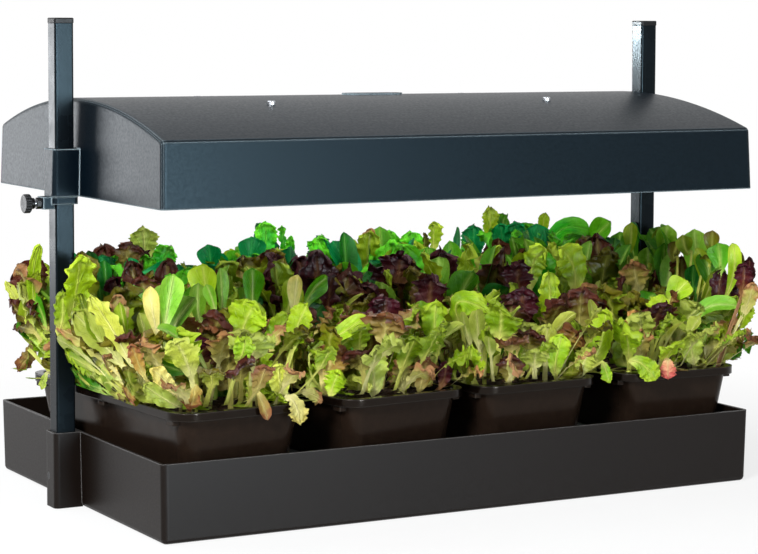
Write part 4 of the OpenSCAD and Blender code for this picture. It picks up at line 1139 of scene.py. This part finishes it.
def make_mat():
    """The capillary mat: one sheet with six tails that hang through the deck's slots."""
    xs = np.linspace(-MAT_HALF, MAT_HALF, 88)
    ys = np.linspace(MAT_FRONT, MAT_REAR, 50)
    X, Y = np.meshgrid(xs, ys)
    ripple = 0.12 * np.sin(X / 23.0) * np.sin(Y / 17.0) + 0.06 * np.sin(X / 7.0 + Y / 5.0)
    upper = np.stack([X, Y, MAT_TOP - 0.1 + ripple], -1)
    lower = np.stack([X, Y, np.full_like(X, MAT_UNDER)], -1)
    points = [upper.reshape(-1, 3), lower.reshape(-1, 3)]
    faces = slab_faces(0, X.shape, True)
    count = 2 * X.size
    for y in TAIL_YS:
        for x in TAIL_XS:
            wide = np.linspace(x - TAIL_HALF_W, x + TAIL_HALF_W, 12)
            deep = np.linspace(MAT_UNDER - 0.05, TAIL_END, 8)
            W, D = np.meshgrid(wide, deep)
            sway = 0.2 * np.sin((50 - D) / 7.0 + x) * np.sin(W / 9.0)
            for offset in (-TAIL_HALF_T, TAIL_HALF_T):
                points.append(np.stack([W, y + offset + sway, D], -1).reshape(-1, 3))
            faces += slab_faces(count, W.shape, False)
            count += 2 * W.size
    mat = mesh_object("felt_mat", np.concatenate(points) * MM, np.concatenate(faces), FELT)
    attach(mat, "base")
    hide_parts("capillary_mat")


make_mat()

# ---------------------------------------------------------------- soil crumbs


def make_crumbs(bed):
    """Loose peat and bark on the growing medium."""
    rng = np.random.default_rng(77 + bed)
    base = np.array(
        [[0, 0, 1], [0.89, 0, 0.45], [0.28, 0.85, 0.45], [-0.72, 0.53, 0.45], [-0.72, -0.53, 0.45],
         [0.28, -0.85, 0.45], [0.72, 0.53, -0.45], [-0.28, 0.85, -0.45], [-0.89, 0, -0.45],
         [-0.28, -0.85, -0.45], [0.72, -0.53, -0.45], [0, 0, -1]]
    )
    tris = np.array(
        [[0, 1, 2], [0, 2, 3], [0, 3, 4], [0, 4, 5], [0, 5, 1], [1, 6, 2], [2, 7, 3], [3, 8, 4],
         [4, 9, 5], [5, 10, 1], [6, 7, 2], [7, 8, 3], [8, 9, 4], [9, 10, 5], [10, 6, 1],
         [11, 7, 6], [11, 8, 7], [11, 9, 8], [11, 10, 9], [11, 6, 10]]
    )
    points, faces = [], []
    for k, (a, b, x, y) in enumerate(scatter(rng, bed, 520, -2.0)):
        size = rng.uniform(1.2, 3.6) * np.array([1, rng.uniform(0.5, 1), rng.uniform(0.35, 0.8)])
        spin = rng.uniform(0, 2 * np.pi)
        rough = base * size * (1 + rng.uniform(-0.25, 0.25, (12, 1)))
        turned = np.stack(
            [rough[:, 0] * np.cos(spin) - rough[:, 1] * np.sin(spin),
             rough[:, 0] * np.sin(spin) + rough[:, 1] * np.cos(spin), rough[:, 2]], 1)
        points.append(turned + (x, y, SOIL + 0.4 * size[2]))
        faces.append(tris + 12 * k)
    crumbs = mesh_object(
        f"soil_crumbs_{bed + 1}", np.concatenate(points) * MM, np.concatenate(faces), PEAT, False
    )
    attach(crumbs, f"tray_{bed + 1}")


for bed in range(4):
    make_crumbs(bed)

# ---------------------------------------------------------------- studio


def make_floor():
    """A pale floor that fades into the white background."""
    g = Graph("studio_floor")
    shade = g.add("BsdfDiffuse", {"Color": (0.86, 0.86, 0.86)})
    glow = g.add("Emission", {"Color": WHITE, "Strength": 1.0})
    far = g.add("VectorMath", {0: g.place}, operation="LENGTH").outputs["Value"]
    share = g.maths("MULTIPLY", g.direct(), g.span(far, 0.82, 1.0, 0.5, 0.95))
    points = np.array([[-9, -9, -0.0005], [9, -9, -0.0005], [9, 12, -0.0005], [-9, 12, -0.0005]])
    material = g.join(share, shade, glow)
    mesh_object("studio_floor", points, np.array([[0, 1, 2, 3]]), material, False)


def make_world():
    """White where it is seen, and a weak bluish fill where it lights."""
    g = Graph("studio", world=True)
    fill = g.add("Background", {"Color": (0.93, 0.96, 1.0), "Strength": 0.15})
    white = g.add("Background", {"Color": WHITE, "Strength": 1.0})
    scene.world = g.join(g.direct(), fill, white)


def soft_lamp(name, place, aim, size, power, colour, sheen_only=False, spread=180.0):
    """A softbox. One that is for sheen only shows in gloss and lights nothing else."""
    data = bpy.data.lights.new(name, "AREA")
    data.shape = "RECTANGLE"
    data.size, data.size_y = size
    data.energy = power
    data.spread = math.radians(spread)
    data.color = colour
    lamp = bpy.data.objects.new(name, data)
    lamp.visible_camera = False
    lamp.visible_diffuse = not sheen_only
    lamp.visible_transmission = not sheen_only
    scene.collection.objects.link(lamp)
    lamp.location = place
    away = np.array(place) - np.array(aim)
    lamp.rotation_euler = (
        math.atan2(math.hypot(away[0], away[1]), away[2]),
        0.0,
        math.atan2(away[0], -away[1]),
    )


make_floor()
make_world()
soft_lamp("key", (-1.9, -1.5, 1.5), (0.0, 0.0, 0.2), (0.7, 0.7), 94, (0.97, 0.98, 1.0))
soft_lamp("front", (0.30, -2.6, 0.50), (-0.1, 0.0, 0.25), (1.0, 0.95), 16, (0.95, 0.98, 1.0))
soft_lamp("top", (-0.7, 0.9, 2.0), (0.0, 0.0, 0.3), (1.6, 1.2), 22, (0.93, 0.97, 1.0))
soft_lamp(
    "front_sheen", (0.10, -2.55, 0.30), (-0.3, -0.2, 0.2), (0.7, 0.56), 108,
    (0.80, 0.92, 1.0), sheen_only=True,
)
soft_lamp(
    "end_sheen", (-1.25, 2.2, 0.33), (-0.4, -0.1, 0.25), (0.7, 0.6), 12,
    (0.95, 0.97, 1.0), sheen_only=True,
)
soft_lamp(
    "post_sheen", (-0.10, 0.72, 0.56), (0.36, 0.0, 0.55), (0.34, 0.14), 0.6,
    (0.84, 0.95, 1.0), sheen_only=True, spread=16.0,
)
scene.view_settings.view_transform = "Standard"
